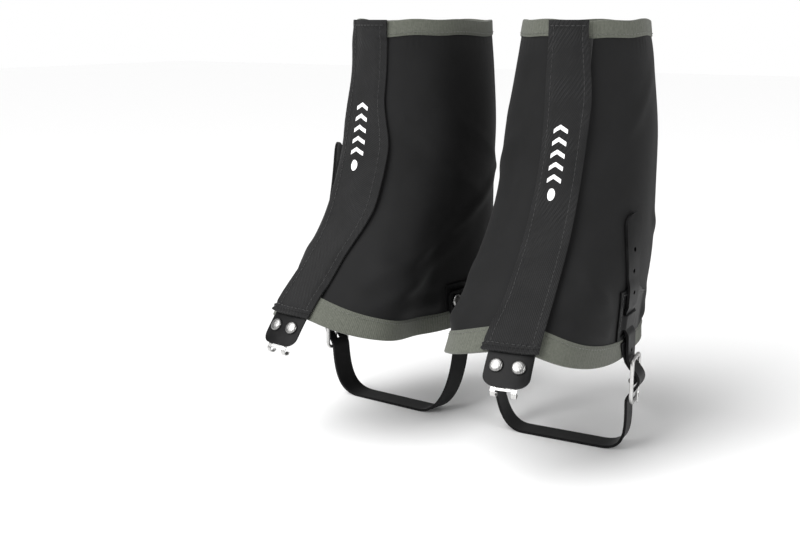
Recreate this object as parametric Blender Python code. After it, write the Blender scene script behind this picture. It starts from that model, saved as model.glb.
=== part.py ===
"""A pair of hiking gaiters, worn shape, every sewn, riveted and buckled piece on its own.

Each gaiter is drawn once in its own frame: lateral (away from the other leg), forward (to the toe)
and up. The left one stands at +X, the right one is its mirror image at -X, and toes face -Y.
Lengths are metres. "Drop" is the distance below the top edge, and "offset" the distance out from
the leg's surface, which is the inner face of the shell.
"""

import math

import bmesh
import bpy
from mathutils import Matrix, Vector

# Overall size and stance
RIM_HEIGHT = 0.312
LEG_SPACING = 0.146
TOE_OUT = math.radians(9.0)
PAIR_BACK_SHIFT = 0.0392

# Leg and boot outline: drop, half width, reach to the front, reach to the back
LEG_STATIONS = (
    (0.000, 0.0425, 0.0480, 0.0790),
    (0.040, 0.0495, 0.0505, 0.0800),
    (0.080, 0.0555, 0.0580, 0.0780),
    (0.120, 0.0567, 0.0690, 0.0730),
    (0.155, 0.0569, 0.0855, 0.0720),
    (0.185, 0.0562, 0.1110, 0.0720),
    (0.215, 0.0548, 0.1410, 0.0725),
    (0.255, 0.0560, 0.1700, 0.0730),
)
BLUNT_FROM = 0.080
BLUNT_BY = 0.200
BLUNTNESS = 0.5
FLARE_FROM = 0.090
FLARE_BY = 0.230
FLARE = 0.45
LATERAL_SLIM = 0.055
ARCH_SLIM = 0.100

# Sheet thicknesses and the gap that stacked pieces keep
GAP = 0.0003
SHELL_THICK = 0.0010
BINDING_THICK = 0.0007
STRIP_THICK = 0.0009
FLAP_THICK = 0.0012
PATCH_THICK = 0.0012
STRAP_THICK = 0.0020
TAB_THICK = 0.0014

# Shell, bindings and front flap
SIDE_DROP = 0.239
FRONT_RISE = 0.025
RISE_ANGLE = math.radians(82.0)
TOP_BINDING_WIDTH = 0.012
BOTTOM_BINDING_WIDTH = 0.014
FLAP_WIDTH = 0.034
FLAP_CENTRE_TOP = 0.004
FLAP_CENTRE_DRIFT = -0.035
FLAP_DROP = 0.2165
SHELL_COLUMNS = 35
SHELL_MEDIAL_END = -0.009
SHELL_LATERAL_END = -0.006
STRIP_FROM = -0.004
STRIP_TO = 0.014
LEVELS = (0.0125, 0.034, 0.056, 0.078, 0.100, 0.119, 0.137, 0.153, 0.169, 0.185)

# Lace hook tab at the flap's lower end
HOOK_TAB_WIDTH = 0.031
HOOK_TAB_CLEARANCE = 0.0014
HOOK_TAB_END_DROP = 0.2350
HOOK_TAB_CORNER = 0.008
TAB_RIVET_DROP = 0.2235
TAB_RIVET_SPACING = 0.015
HOOK_PLATE_WIDTH = 0.024
HOOK_PLATE_DROPS = (0.2190, 0.2280)
HOOK_THICK = 0.0009
HOOK_CURL_RADIUS = 0.0028

# Strap hardware on the lateral side
STRAP_WIDTH = 0.018
BUCKLE_DROP = 0.2545
BUCKLE_FORWARD = 0.036
BUCKLE_HALF_HEIGHT = 0.0164
BUCKLE_HALF_WIDTH = 0.0112
WIRE_RADIUS = 0.0015
CROSSBAR_CLEARANCE = 0.0016
KEEPER_BAND_DROPS = (0.2045, 0.2145)
KEEPER_SLIT_HEIGHT = 0.0065
TAIL_SPLIT_DROP = 0.1970
BUCKLE_TAB_LEG_DROPS = (0.2252, 0.2290, 0.2340)
HOLE_PITCH = 0.015
HOLE_WIDTH = 0.0034
TAIL_END_DROPS = {"left": 0.133, "right": 0.098}

# Strap anchor on the medial side
ANCHOR_FORWARD = 0.0105
ANCHOR_RIVET_SPACING = 0.014
ANCHOR_RIVET_DROP = 0.2165
ANCHOR_HEAD_WIDTH = 0.028
RIVET_SHANK_RADIUS = 0.0016
RIVET_HOLE_RADIUS = 0.0021

# Layer stack out from the leg's surface
SHELL_FACE = SHELL_THICK
OVER_SHELL = SHELL_FACE + GAP
BINDING_FACE = OVER_SHELL + BINDING_THICK
OVER_BINDING = BINDING_FACE + GAP
LOOP_FACE = OVER_SHELL + STRIP_THICK
HOOK_BACK = LOOP_FACE + GAP
HOOK_FACE = HOOK_BACK + STRIP_THICK
TAB_FACE = OVER_BINDING + TAB_THICK
FLAP_BACK = TAB_FACE + GAP

SIDES = {"left": 1, "right": -1}
COLOURS = {
    "shell_cloth": ((0.012, 0.012, 0.013), 0.75, 0.0),
    "flap_twill": ((0.022, 0.022, 0.024), 0.70, 0.0),
    "binding_elastic": ((0.125, 0.130, 0.115), 0.90, 0.0),
    "fastener_nylon": ((0.015, 0.015, 0.015), 0.95, 0.0),
    "moulded_rubber": ((0.018, 0.018, 0.019), 0.50, 0.0),
    "steel": ((0.70, 0.70, 0.71), 0.25, 1.0),
}


# ---------------------------------------------------------------- small tools


def smooth_step(value):
    """Goes from 0 to 1 with level ends."""
    value = min(max(value, 0.0), 1.0)
    return value * value * (3.0 - 2.0 * value)


def station_value(drop, column):
    """One outline dimension at a drop, on a smooth curve through the stations."""
    drop = min(max(drop, LEG_STATIONS[0][0]), LEG_STATIONS[-1][0])
    index = max(i for i, station in enumerate(LEG_STATIONS[:-1]) if station[0] <= drop)
    before = LEG_STATIONS[max(index - 1, 0)]
    low, high = LEG_STATIONS[index], LEG_STATIONS[index + 1]
    after = LEG_STATIONS[min(index + 2, len(LEG_STATIONS) - 1)]
    span = high[0] - low[0]
    slope_low = (high[column] - before[column]) / (high[0] - before[0])
    slope_high = (after[column] - low[column]) / (after[0] - low[0])
    t = (drop - low[0]) / span
    return (
        (2 * t**3 - 3 * t**2 + 1) * low[column]
        + (t**3 - 2 * t**2 + t) * span * slope_low
        + (3 * t**2 - 2 * t**3) * high[column]
        + (t**3 - t**2) * span * slope_high
    )


def bluntness(drop):
    """Exponent of the front half's outline: 2 is an ellipse, more is a squarer toe end."""
    return 2.0 + BLUNTNESS * smooth_step((drop - BLUNT_FROM) / (BLUNT_BY - BLUNT_FROM))


def medial_flare(drop):
    """Share by which the medial front bulges further out, over the ball of the foot."""
    return FLARE * smooth_step((drop - FLARE_FROM) / (FLARE_BY - FLARE_FROM))


def lateral_share(drop):
    """Width of the lateral half as a share of the medial half's, least at the outer arch."""
    return 1.0 - LATERAL_SLIM * smooth_step(drop / 0.100) - ARCH_SLIM * smooth_step((drop - 0.160) / 0.080)


def leg_surface(angle, drop):
    """Point on the leg's surface; angle 0 is the toe line and 90 degrees is lateral."""
    sine, cosine = math.sin(angle), math.cos(angle)
    width = station_value(drop, 1)
    reach = station_value(drop, 3)
    if sine > 0.0:
        width *= lateral_share(drop)
    if cosine > 0.0:
        power = bluntness(drop)
        size = (abs(sine) ** power + cosine**power) ** (1.0 / power)
        sine, cosine = sine / size, cosine / size
        reach = station_value(drop, 2)
        if sine < 0.0:
            width *= 1.0 + medial_flare(drop) * smooth_step((cosine - 0.34) / 0.44)
    return Vector((width * sine, reach * cosine, RIM_HEIGHT - drop))


def leg_axes(angle, drop):
    """Outward normal and downward direction of the leg's surface."""
    step = 0.002
    across = leg_surface(angle + step, drop) - leg_surface(angle - step, drop)
    down = leg_surface(angle, drop + step) - leg_surface(angle, drop - step)
    return across.cross(down).normalized(), down.normalized()


def leg_point(angle, drop, offset):
    """Point at an offset out from the leg's surface."""
    return leg_surface(angle, drop) + leg_axes(angle, drop)[0] * offset


def front_angle(lateral, drop):
    """Angle of the point that lies this far to the side on the leg's front."""
    share = lateral / station_value(drop, 1)
    share /= lateral_share(drop) if lateral > 0.0 else 1.0 + medial_flare(drop)
    power = bluntness(drop)
    return math.atan2(share, (1.0 - abs(share) ** power) ** (1.0 / power))


def side_angle(forward, drop):
    """Angle of the point that lies this far forward on the leg's lateral side."""
    if forward < 0.0:
        return math.acos(forward / station_value(drop, 3))
    share = forward / station_value(drop, 2)
    power = bluntness(drop)
    return math.atan2((1.0 - share**power) ** (1.0 / power), share)


def side_point(forward, drop, offset, flank=1):
    """Point on the lateral side, or with flank -1 on the medial side."""
    return leg_point(flank * side_angle(forward, drop), drop, offset)


def place(side, point):
    """Turns a gaiter-frame point or direction sum into the pair's own frame."""
    x = LEG_SPACING / 2 + point[0] * math.cos(TOE_OUT) + point[1] * math.sin(TOE_OUT)
    y = PAIR_BACK_SHIFT + point[0] * math.sin(TOE_OUT) - point[1] * math.cos(TOE_OUT)
    return Vector((SIDES[side] * x, y, point[2]))


def evenly(first, last, count):
    """Evenly spaced values, both ends included."""
    return [first + (last - first) * i / (count - 1) for i in range(count)]


def material(name):
    """Principled material of one kind of stock."""
    found = bpy.data.materials.get(name)
    if found:
        return found
    made = bpy.data.materials.new(name)
    made.use_nodes = True
    colour, roughness, metallic = COLOURS[name]
    shader = made.node_tree.nodes["Principled BSDF"]
    shader.inputs["Base Color"].default_value = (*colour, 1.0)
    shader.inputs["Roughness"].default_value = roughness
    shader.inputs["Metallic"].default_value = metallic
    return made


def add_object(name, mesh_data, stock):
    """Closes a bmesh into a named object with its faces pointing out."""
    bmesh.ops.recalc_face_normals(mesh_data, faces=mesh_data.faces)
    mesh = bpy.data.meshes.new(name)
    mesh_data.to_mesh(mesh)
    mesh_data.free()
    mesh.materials.append(material(stock))
    piece = bpy.data.objects.new(name, mesh)
    bpy.context.scene.collection.objects.link(piece)
    return piece


def sheet(name, side, columns, rows, point, stock, keep=None):
    """Closed sheet over a grid of cells; point(column, row, face) is on the back (0) or front (1)."""
    mesh_data = bmesh.new()
    vertices = {}

    def vertex(i, j, face):
        if (i, j, face) not in vertices:
            vertices[i, j, face] = mesh_data.verts.new(place(side, point(columns[i], rows[j], face)))
        return vertices[i, j, face]

    def filled(i, j):
        inside = 0 <= i < len(columns) - 1 and 0 <= j < len(rows) - 1
        return inside and (keep is None or keep(i, j))

    for i in range(len(columns) - 1):
        for j in range(len(rows) - 1):
            if not filled(i, j):
                continue
            corners = ((i, j), (i + 1, j), (i + 1, j + 1), (i, j + 1))
            neighbours = ((i, j - 1), (i + 1, j), (i, j + 1), (i - 1, j))
            for face in (0, 1):
                mesh_data.faces.new([vertex(*corner, face) for corner in corners])
            for k, neighbour in enumerate(neighbours):
                if not filled(*neighbour):
                    start, end = corners[k], corners[(k + 1) % 4]
                    wall = (vertex(*start, 0), vertex(*end, 0), vertex(*end, 1), vertex(*start, 1))
                    mesh_data.faces.new(wall)
    return add_object(name, mesh_data, stock)


def loft(name, side, rings_of_points, stock, closed=False):
    """Skins rings of points into one body, capped at both ends or closed into a loop."""
    mesh_data = bmesh.new()
    rings = [[mesh_data.verts.new(place(side, point)) for point in ring] for ring in rings_of_points]
    spans = list(zip(rings, rings[1:]))
    if closed:
        spans.append((rings[-1], rings[0]))
    else:
        mesh_data.faces.new(rings[0])
        mesh_data.faces.new(rings[-1])
    for ring, following in spans:
        for k in range(len(ring)):
            after = (k + 1) % len(ring)
            mesh_data.faces.new((ring[k], ring[after], following[after], following[k]))
    return add_object(name, mesh_data, stock)


def cut(piece, side, centre, normal, radius, length):
    """Bores a round hole through a piece, along the normal."""
    start = place(side, centre)
    direction = (place(side, centre + normal) - start).normalized()
    mesh_data = bmesh.new()
    bmesh.ops.create_cone(
        mesh_data, cap_ends=True, segments=12, radius1=radius, radius2=radius, depth=length
    )
    turn = Vector((0.0, 0.0, 1.0)).rotation_difference(direction).to_matrix().to_4x4()
    bmesh.ops.transform(mesh_data, matrix=Matrix.Translation(start) @ turn, verts=mesh_data.verts)
    cutter = add_object(piece.name + "_cutter", mesh_data, "steel")
    cutter.hide_render = True
    cutter.display_type = "WIRE"
    bore = piece.modifiers.new("bore", "BOOLEAN")
    bore.operation = "DIFFERENCE"
    bore.solver = "EXACT"
    bore.object = cutter


def turned(name, side, centre, normal, profile, stock, segments=12):
    """Round piece turned about the normal: profile is (radius, height) from one axis end to the other."""
    start = place(side, centre)
    axis = (place(side, centre + normal) - start).normalized()
    first = axis.orthogonal().normalized()
    second = axis.cross(first)
    mesh_data = bmesh.new()
    poles = [mesh_data.verts.new(start + axis * profile[k][1]) for k in (0, -1)]
    rings = []
    for radius, height in profile[1:-1]:
        ring = []
        for k in range(segments):
            turn = math.tau * k / segments
            way = first * math.cos(turn) + second * math.sin(turn)
            ring.append(mesh_data.verts.new(start + axis * height + way * radius))
        rings.append(ring)
    for k in range(segments):
        after = (k + 1) % segments
        mesh_data.faces.new((poles[0], rings[0][after], rings[0][k]))
        mesh_data.faces.new((poles[1], rings[-1][k], rings[-1][after]))
        for ring, following in zip(rings, rings[1:]):
            mesh_data.faces.new((ring[k], ring[after], following[after], following[k]))
    piece = add_object(name, mesh_data, stock)
    piece.data.shade_smooth()
    return piece


def hinge(name, side, centre, direction, pieces):
    """Parents pieces to an empty that lies on their axis, with its Z along the axis."""
    start = place(side, centre)
    axis = (place(side, centre + direction) - start).normalized()
    pivot = bpy.data.objects.new(f"{side}_{name}", None)
    bpy.context.scene.collection.objects.link(pivot)
    turn = Vector((0.0, 0.0, 1.0)).rotation_difference(axis).to_matrix().to_4x4()
    pivot.matrix_world = Matrix.Translation(start) @ turn
    for piece in pieces:
        piece.parent = pivot
        piece.matrix_parent_inverse = pivot.matrix_world.inverted()
    return pivot


# ---------------------------------------------------------------- cloth pieces


def flap_centre(drop):
    """Sideways place of the flap's middle, which drifts medially towards the toe."""
    return FLAP_CENTRE_TOP + FLAP_CENTRE_DRIFT * drop


def lower_edge(angle):
    """Drop of the shell's lower edge, which arches up over the instep."""
    angle = abs((angle + math.pi) % math.tau - math.pi)
    return SIDE_DROP - FRONT_RISE * (1.0 - smooth_step(angle / RISE_ANGLE))


def shell_angle(share, drop):
    """Angle around the leg, from the front opening's lateral end (0) to its medial end (1)."""
    start = front_angle(flap_centre(drop) + SHELL_LATERAL_END, drop)
    end = math.tau + front_angle(flap_centre(drop) + SHELL_MEDIAL_END, drop)
    return start + (end - start) * share


def shell_row_drop(share, row):
    """Drop of a shell row: cut edge and mid tape, then the levels, then mid tape and cut edge."""
    edge = BINDING_THICK + GAP
    low = lower_edge(shell_angle(share, SIDE_DROP))
    half_top, half_bottom = TOP_BINDING_WIDTH / 2, BOTTOM_BINDING_WIDTH / 2
    tape_top = low - 2 * half_bottom
    between = evenly(LEVELS[-1], tape_top, 4)[1:]
    return (edge, half_top, *LEVELS, *between, low - half_bottom, low - edge)[row]


def make_shell(side):
    """Wrap-around shell, open down the front under the flap."""

    def point(share, row, face):
        drop = shell_row_drop(share, row)
        return leg_point(shell_angle(share, drop), drop, face * SHELL_THICK)

    rows = range(len(LEVELS) + 7)
    shell = sheet(f"{side}_shell", side, evenly(0.0, 1.0, SHELL_COLUMNS), rows, point, "shell_cloth")
    for forward in anchor_rivet_places():
        centre = side_point(forward, ANCHOR_RIVET_DROP, 0.0, flank=-1)
        cut(shell, side, centre, anchor_normal(forward), RIVET_HOLE_RADIUS, 0.006)
    return shell


def make_binding(side, name, edge_drop, down, width):
    """Elastic tape folded over a cut edge of the shell; down is -1 where it rises from the edge."""
    inner_face = -GAP
    inner_back = inner_face - BINDING_THICK
    middle = width / 2
    profile = (
        (inner_back, 0.0),
        (BINDING_FACE, 0.0),
        (BINDING_FACE, middle),
        (BINDING_FACE, width),
        (OVER_SHELL, width),
        (OVER_SHELL, middle),
        (OVER_SHELL, BINDING_THICK),
        (inner_face, BINDING_THICK),
        (inner_face, middle),
        (inner_face, width),
        (inner_back, width),
        (inner_back, middle),
    )
    rings = []
    for share in evenly(0.0, 1.0, SHELL_COLUMNS):
        edge = edge_drop(shell_angle(share, SIDE_DROP))
        drops = [edge + down * height for offset, height in profile]
        rings.append([
            leg_point(shell_angle(share, drop), drop, offset)
            for drop, (offset, height) in zip(drops, profile)
        ])
    return loft(f"{side}_{name}", side, rings, "binding_elastic")


def make_front_strip(side, name, back, face, stock="fastener_nylon"):
    """Hook or loop strip that runs down the front opening."""

    def point(across, drop, front):
        angle = front_angle(flap_centre(drop) + across, drop)
        return leg_point(angle, drop, face if front else back)

    columns = evenly(STRIP_FROM, STRIP_TO, 5)
    return sheet(f"{side}_{name}", side, columns, LEVELS, point, stock)


def make_flap(side):
    """Front flap, sewn at its medial edge and closed over the fastener strips."""

    def point(across, drop, front):
        angle = front_angle(flap_centre(drop) + across, drop)
        return leg_point(angle, drop, FLAP_BACK + FLAP_THICK * front)

    columns = evenly(-FLAP_WIDTH / 2, FLAP_WIDTH / 2, 9)
    rows = (0.0, *LEVELS, 0.196, 0.207, FLAP_DROP)
    return sheet(f"{side}_front_flap", side, columns, rows, point, "flap_twill")


# ---------------------------------------------------------------- lace hook tab


def tab_angle(across, drop):
    """Angle around the leg of a place across the tab."""
    return front_angle(flap_centre(FLAP_DROP) + across, drop)


def tab_point(across, drop, offset):
    """Point on the tab's run down the instep."""
    return leg_point(tab_angle(across, drop), drop, offset)


def tab_top(across):
    """Drop of the tab's upper end, which follows the shell's lower edge."""
    return lower_edge(tab_angle(across, TAB_RIVET_DROP)) + HOOK_TAB_CLEARANCE


def make_hook_tab(side):
    """Rubber tab below the flap, with rounded lower corners and two rivet holes."""
    rounding = HOOK_TAB_CORNER * 0.75
    round_from = HOOK_TAB_END_DROP - rounding
    levels = (0.0, 0.5, 1.0, 1.35, 1.65, 1.85, 2.0)

    def point(column, level, face):
        into_corner = max(level - 1.0, 0.0)
        trim = HOOK_TAB_CORNER * (1.0 - math.sqrt(1.0 - into_corner**2))
        across = column * (HOOK_TAB_WIDTH / 2 - trim)
        top = tab_top(across)
        drop = top + (round_from - top) * min(level, 1.0) + rounding * into_corner
        return tab_point(across, drop, OVER_BINDING + TAB_THICK * face)

    tab = sheet(
        f"{side}_lace_hook_tab", side, evenly(-1.0, 1.0, 9), levels, point, "moulded_rubber"
    )
    bore_for_tab_rivets(tab, side)
    return tab


def tab_rivet_seats():
    """Centre on the tab's front face and outward direction of the medial and lateral rivet."""
    seats = []
    for across in (-TAB_RIVET_SPACING / 2, TAB_RIVET_SPACING / 2):
        normal = leg_axes(tab_angle(across, TAB_RIVET_DROP), TAB_RIVET_DROP)[0]
        seats.append((tab_point(across, TAB_RIVET_DROP, TAB_FACE), normal))
    return seats


def bore_for_tab_rivets(piece, side):
    """Drills the two rivet holes."""
    for centre, normal in tab_rivet_seats():
        cut(piece, side, centre, normal, RIVET_HOLE_RADIUS, 0.010)


def finger_path(distance):
    """Side outline of a finger below the plate: straight, then curled in and back up."""
    straight = 0.0110
    turn = min(max(distance - straight, 0.0) / HOOK_CURL_RADIUS, math.pi)
    beyond = max(distance - straight - math.pi * HOOK_CURL_RADIUS, 0.0)
    down = min(distance, straight) + HOOK_CURL_RADIUS * math.sin(turn) - beyond
    inward = HOOK_CURL_RADIUS * (1.0 - math.cos(turn))
    return down, inward, turn


def make_lace_hook(side):
    """Pressed steel hook: a riveted plate behind the tab, and two fingers joined by a bar below it."""
    back = OVER_BINDING - GAP - HOOK_THICK
    half = HOOK_PLATE_WIDTH / 2
    columns = (-half, -0.0070, -0.0042, 0.0, 0.0042, 0.0070, half)
    plate_top, plate_end = HOOK_PLATE_DROPS
    curl = math.pi * HOOK_CURL_RADIUS
    distances = [0.0, 0.0078, 0.0096, 0.0110, *[0.0110 + curl * k / 6 for k in range(1, 7)], 0.0115 + curl]
    rows = [-3.0, -2.0, *range(len(distances))]

    def point(across, row, face):
        if row < 0:
            drop = plate_top + (plate_end - plate_top) * (row + 3.0) / 3.0
            return tab_point(across, drop, back + HOOK_THICK * face)
        outward, down = leg_axes(tab_angle(across, plate_end), plate_end)
        down_by, inward, turn = finger_path(distances[row])
        centre = tab_point(across, plate_end, back + HOOK_THICK / 2) + down * down_by - outward * inward
        normal = outward * math.cos(turn) + down * math.sin(turn)
        return centre + normal * HOOK_THICK * (face - 0.5)

    def keep(i, j):
        in_bar = j == 3 and 1 <= i <= 4
        return j < 2 or i in (1, 4) or in_bar

    hook = sheet(f"{side}_lace_hook", side, columns, rows, point, "steel", keep)
    bore_for_tab_rivets(hook, side)
    return hook


def rivet_profile(grip, head_radius, head_height):
    """Domed head above height 0, shank through the grip, clinched foot below."""
    head = [(head_radius * math.cos(a), GAP + head_height * math.sin(a)) for a in evenly(0.25, 1.05, 3)]
    foot_radius = RIVET_SHANK_RADIUS + 0.0012
    foot_top = -grip - GAP
    profile = [(0.0, GAP + head_height)]
    profile += [(radius, height) for radius, height in reversed(head)]
    profile += [(head_radius, GAP), (RIVET_SHANK_RADIUS, GAP), (RIVET_SHANK_RADIUS, foot_top)]
    profile += [(foot_radius, foot_top), (foot_radius, foot_top - 0.0007), (0.0, foot_top - 0.0007)]
    return profile


def make_tab_rivets(side):
    """Two domed rivets that join the tab to the hook's plate."""
    grip = TAB_THICK + GAP + HOOK_THICK
    profile = rivet_profile(grip, 0.0049, 0.0022)
    return [
        turned(f"{side}_tab_rivet_{name}", side, centre, normal, profile, "steel")
        for name, (centre, normal) in zip(("medial", "lateral"), tab_rivet_seats())
    ]


# ---------------------------------------------------------------- strap and keeper


def strap_forward(drop):
    """Fore-and-aft place of the strap's middle on the lateral side."""
    lean = 0.0075 * smooth_step((0.238 - drop) / 0.050)
    return BUCKLE_FORWARD + lean - 0.0065 * smooth_step((0.178 - drop) / 0.060)


def strap_offset(drop):
    """How far out the middle of the strap lies: on the patch, under the band, on the patch, on the shell."""
    on_patch = OVER_SHELL + PATCH_THICK + GAP + STRAP_THICK / 2 + 0.0002
    over_tab = OVER_BINDING + PATCH_THICK + GAP + STRAP_THICK / 2 + 0.0006
    under_band = OVER_SHELL + STRAP_THICK / 2 + 0.0001
    band_top, band_end = KEEPER_BAND_DROPS
    if drop > band_end:
        return under_band + (over_tab - under_band) * smooth_step((drop - band_end) / KEEPER_SLIT_HEIGHT)
    if drop > band_top - KEEPER_SLIT_HEIGHT:
        return under_band + (on_patch - under_band) * smooth_step((band_top - drop) / KEEPER_SLIT_HEIGHT)
    on_shell = OVER_SHELL + STRAP_THICK / 2 + 0.0002
    return on_patch + (on_shell - on_patch) * smooth_step((0.186 - drop) / 0.010)


def lateral_run(drop):
    """Middle of the strap on the shell's lateral side."""
    return side_point(strap_forward(drop), drop, strap_offset(drop))


BUCKLE_STRAP_OUT = lateral_run(BUCKLE_DROP - BUCKLE_HALF_HEIGHT).x
BUCKLE_OUT = BUCKLE_STRAP_OUT + STRAP_THICK / 2 + CROSSBAR_CLEARANCE + WIRE_RADIUS
BULGE = BUCKLE_OUT - BUCKLE_STRAP_OUT + WIRE_RADIUS + GAP + PATCH_THICK + GAP + STRAP_THICK / 2 + 0.0001
BUCKLE_CENTRE = Vector((BUCKLE_OUT, BUCKLE_FORWARD, RIM_HEIGHT - BUCKLE_DROP))


def buckle_run(drop):
    """Strap inside the lower crossbar, out over the centre bar, and inside the upper crossbar."""
    swing = (drop - BUCKLE_DROP) / BUCKLE_HALF_HEIGHT
    out = BUCKLE_STRAP_OUT + BULGE * (1.0 + math.cos(math.pi * swing)) / 2
    return Vector((out, BUCKLE_FORWARD, RIM_HEIGHT - drop))


def bezier(points, share):
    """Point on a cubic curve with four control points."""
    a, b, c, d = points
    rest = 1.0 - share
    return a * rest**3 + b * (3 * rest**2 * share) + c * (3 * rest * share**2) + d * share**3


def loop_points():
    """Strap's middle line under the foot, from the medial side to the lower crossbar."""
    floor = STRAP_THICK / 2
    medial = side_point(ANCHOR_FORWARD, 0.240, anchor_offset(), flank=-1)
    lateral = buckle_run(BUCKLE_DROP + BUCKLE_HALF_HEIGHT)
    step_medial = Vector((-0.030, 0.021, floor))
    step_lateral = Vector((0.030, 0.027, floor))
    down = (
        medial,
        Vector((medial.x, ANCHOR_FORWARD, 0.030)),
        Vector((-0.052, 0.019, floor)),
        step_medial,
    )
    up = (
        step_lateral,
        Vector((0.052, 0.029, floor)),
        Vector((lateral.x, BUCKLE_FORWARD - 0.002, 0.018)),
        lateral,
    )
    points = [bezier(down, share) for share in evenly(0.0, 1.0, 10)]
    points += [step_medial.lerp(step_lateral, share) for share in (0.25, 0.75)]
    points += [bezier(up, share) for share in evenly(0.0, 1.0, 10)]
    return points


def anchor_offset():
    """How far out the strap's middle lies over the medial patch."""
    return OVER_SHELL + PATCH_THICK + GAP + STRAP_THICK / 2


def anchor_normal(forward):
    """Outward direction of the medial side at the anchor."""
    return leg_axes(-side_angle(forward, ANCHOR_RIVET_DROP), ANCHOR_RIVET_DROP)[0]


def anchor_rivet_places():
    """Forward places of the two anchor rivets."""
    half = ANCHOR_RIVET_SPACING / 2
    return ANCHOR_FORWARD - half, ANCHOR_FORWARD + half


def strap_route():
    """Whole fixed strap as (centre, width direction, normal), medial head to keeper, and its row marks."""
    points = []
    marks = []
    for drop in (0.2085, 0.2105, 0.2140, 0.2190, 0.2235, 0.2280, 0.2330):
        points.append(side_point(ANCHOR_FORWARD, drop, anchor_offset(), flank=-1))
        marks.append(("head", drop))
    for point in loop_points():
        points.append(point)
        marks.append(("loop", RIM_HEIGHT - point.z))
    for drop in buckle_drops()[1:]:
        points.append(buckle_run(drop))
        marks.append(("buckle", drop))
    for drop in keeper_drops():
        points.append(lateral_run(drop))
        marks.append(("keeper", drop))
    return points, marks


def buckle_drops():
    """Rows of the strap through the buckle, with a row at each end of the pin's hole."""
    shares = (1.0, 0.8, 0.62, 0.50, 0.36, 0.22, 0.08, -0.2, -0.4, -0.6, -0.8, -1.0)
    return [BUCKLE_DROP + BUCKLE_HALF_HEIGHT * share for share in shares]


def keeper_drops():
    """Rows of the strap from the buckle to the split at the keeper's upper slit."""
    return (0.2345, 0.2310, 0.2275, 0.2240, 0.2205, 0.2175, 0.2145, 0.2095, 0.2045, 0.2010, 0.1974)


def route_frames(points):
    """Frames along a list of strap points."""
    frames = []
    for index, point in enumerate(points):
        before = points[max(index - 1, 0)]
        after = points[min(index + 1, len(points) - 1)]
        along = (after - before).normalized()
        forward = Vector((0.0, 1.0, 0.0))
        width_way = (forward - along * forward.dot(along)).normalized()
        frames.append((point, width_way, width_way.cross(along)))
    return frames


def make_foot_strap(side):
    """Moulded strap from the medial rivets, under the arch, through the buckle to the keeper."""
    points, marks = strap_route()
    frames = route_frames(points)
    half_hole = HOLE_WIDTH / 2
    columns = (-1.0, -half_hole / (STRAP_WIDTH / 2), half_hole / (STRAP_WIDTH / 2), 1.0)

    def half_width(row):
        kind, drop = marks[row]
        if kind == "head":
            wide = ANCHOR_HEAD_WIDTH / 2 - 0.004 * max(0.2125 - drop, 0.0) / 0.004
            return wide + (STRAP_WIDTH / 2 - wide) * smooth_step((drop - 0.2235) / 0.0095)
        return STRAP_WIDTH / 2

    def point(column, row, face):
        kind, drop = marks[row]
        reach = column * (half_width(row) if abs(column) == 1.0 else STRAP_WIDTH / 2)
        layer = STRAP_THICK * (face - 0.5)
        if kind == "head":
            return side_point(ANCHOR_FORWARD + reach, drop, anchor_offset() + layer, flank=-1)
        if kind == "keeper":
            return side_point(strap_forward(drop) + reach, drop, strap_offset(drop) + layer)
        centre, width_way, normal = frames[row]
        return centre + width_way * reach + normal * layer

    def keep(i, j):
        kind, drop = marks[j + 1]
        in_pin_hole = kind == "buckle" and 0.0 < (drop - BUCKLE_DROP) / BUCKLE_HALF_HEIGHT < 0.6
        return i != 1 or not in_pin_hole

    rows = range(len(points))
    strap = sheet(f"{side}_foot_strap", side, columns, rows, point, "moulded_rubber", keep)
    for forward in anchor_rivet_places():
        centre = side_point(forward, ANCHOR_RIVET_DROP, anchor_offset(), flank=-1)
        cut(strap, side, centre, anchor_normal(forward), RIVET_HOLE_RADIUS, 0.008)
    return strap


def make_strap_tail(side):
    """Free end of the strap, with its row of holes and a round tip."""
    end = TAIL_END_DROPS[side]
    rounding = 0.011
    split = TAIL_SPLIT_DROP - 0.0004
    drops = [split]
    hole_drop = split - 0.0085
    while hole_drop - HOLE_WIDTH > end + rounding:
        drops += [hole_drop + HOLE_WIDTH / 2, hole_drop - HOLE_WIDTH / 2]
        hole_drop -= HOLE_PITCH
    last_hole_row = len(drops) - 1
    drops += [end + rounding * share for share in (1.0, 0.75, 0.5, 0.28, 0.12, 0.03)]
    half_hole = HOLE_WIDTH / STRAP_WIDTH
    columns = (-1.0, -half_hole, half_hole, 1.0)

    def point(column, drop, face):
        into_tip = min(max((end + rounding - drop) / rounding, 0.0), 1.0)
        across = column * STRAP_WIDTH / 2 * math.sqrt(1.0 - into_tip**2.6)
        offset = strap_offset(drop) + STRAP_THICK * (face - 0.5)
        return side_point(strap_forward(drop) + across, drop, offset)

    def keep(i, j):
        return i != 1 or j >= last_hole_row or j % 2 == 0

    return sheet(f"{side}_strap_tail", side, columns, drops, point, "moulded_rubber", keep)


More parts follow.
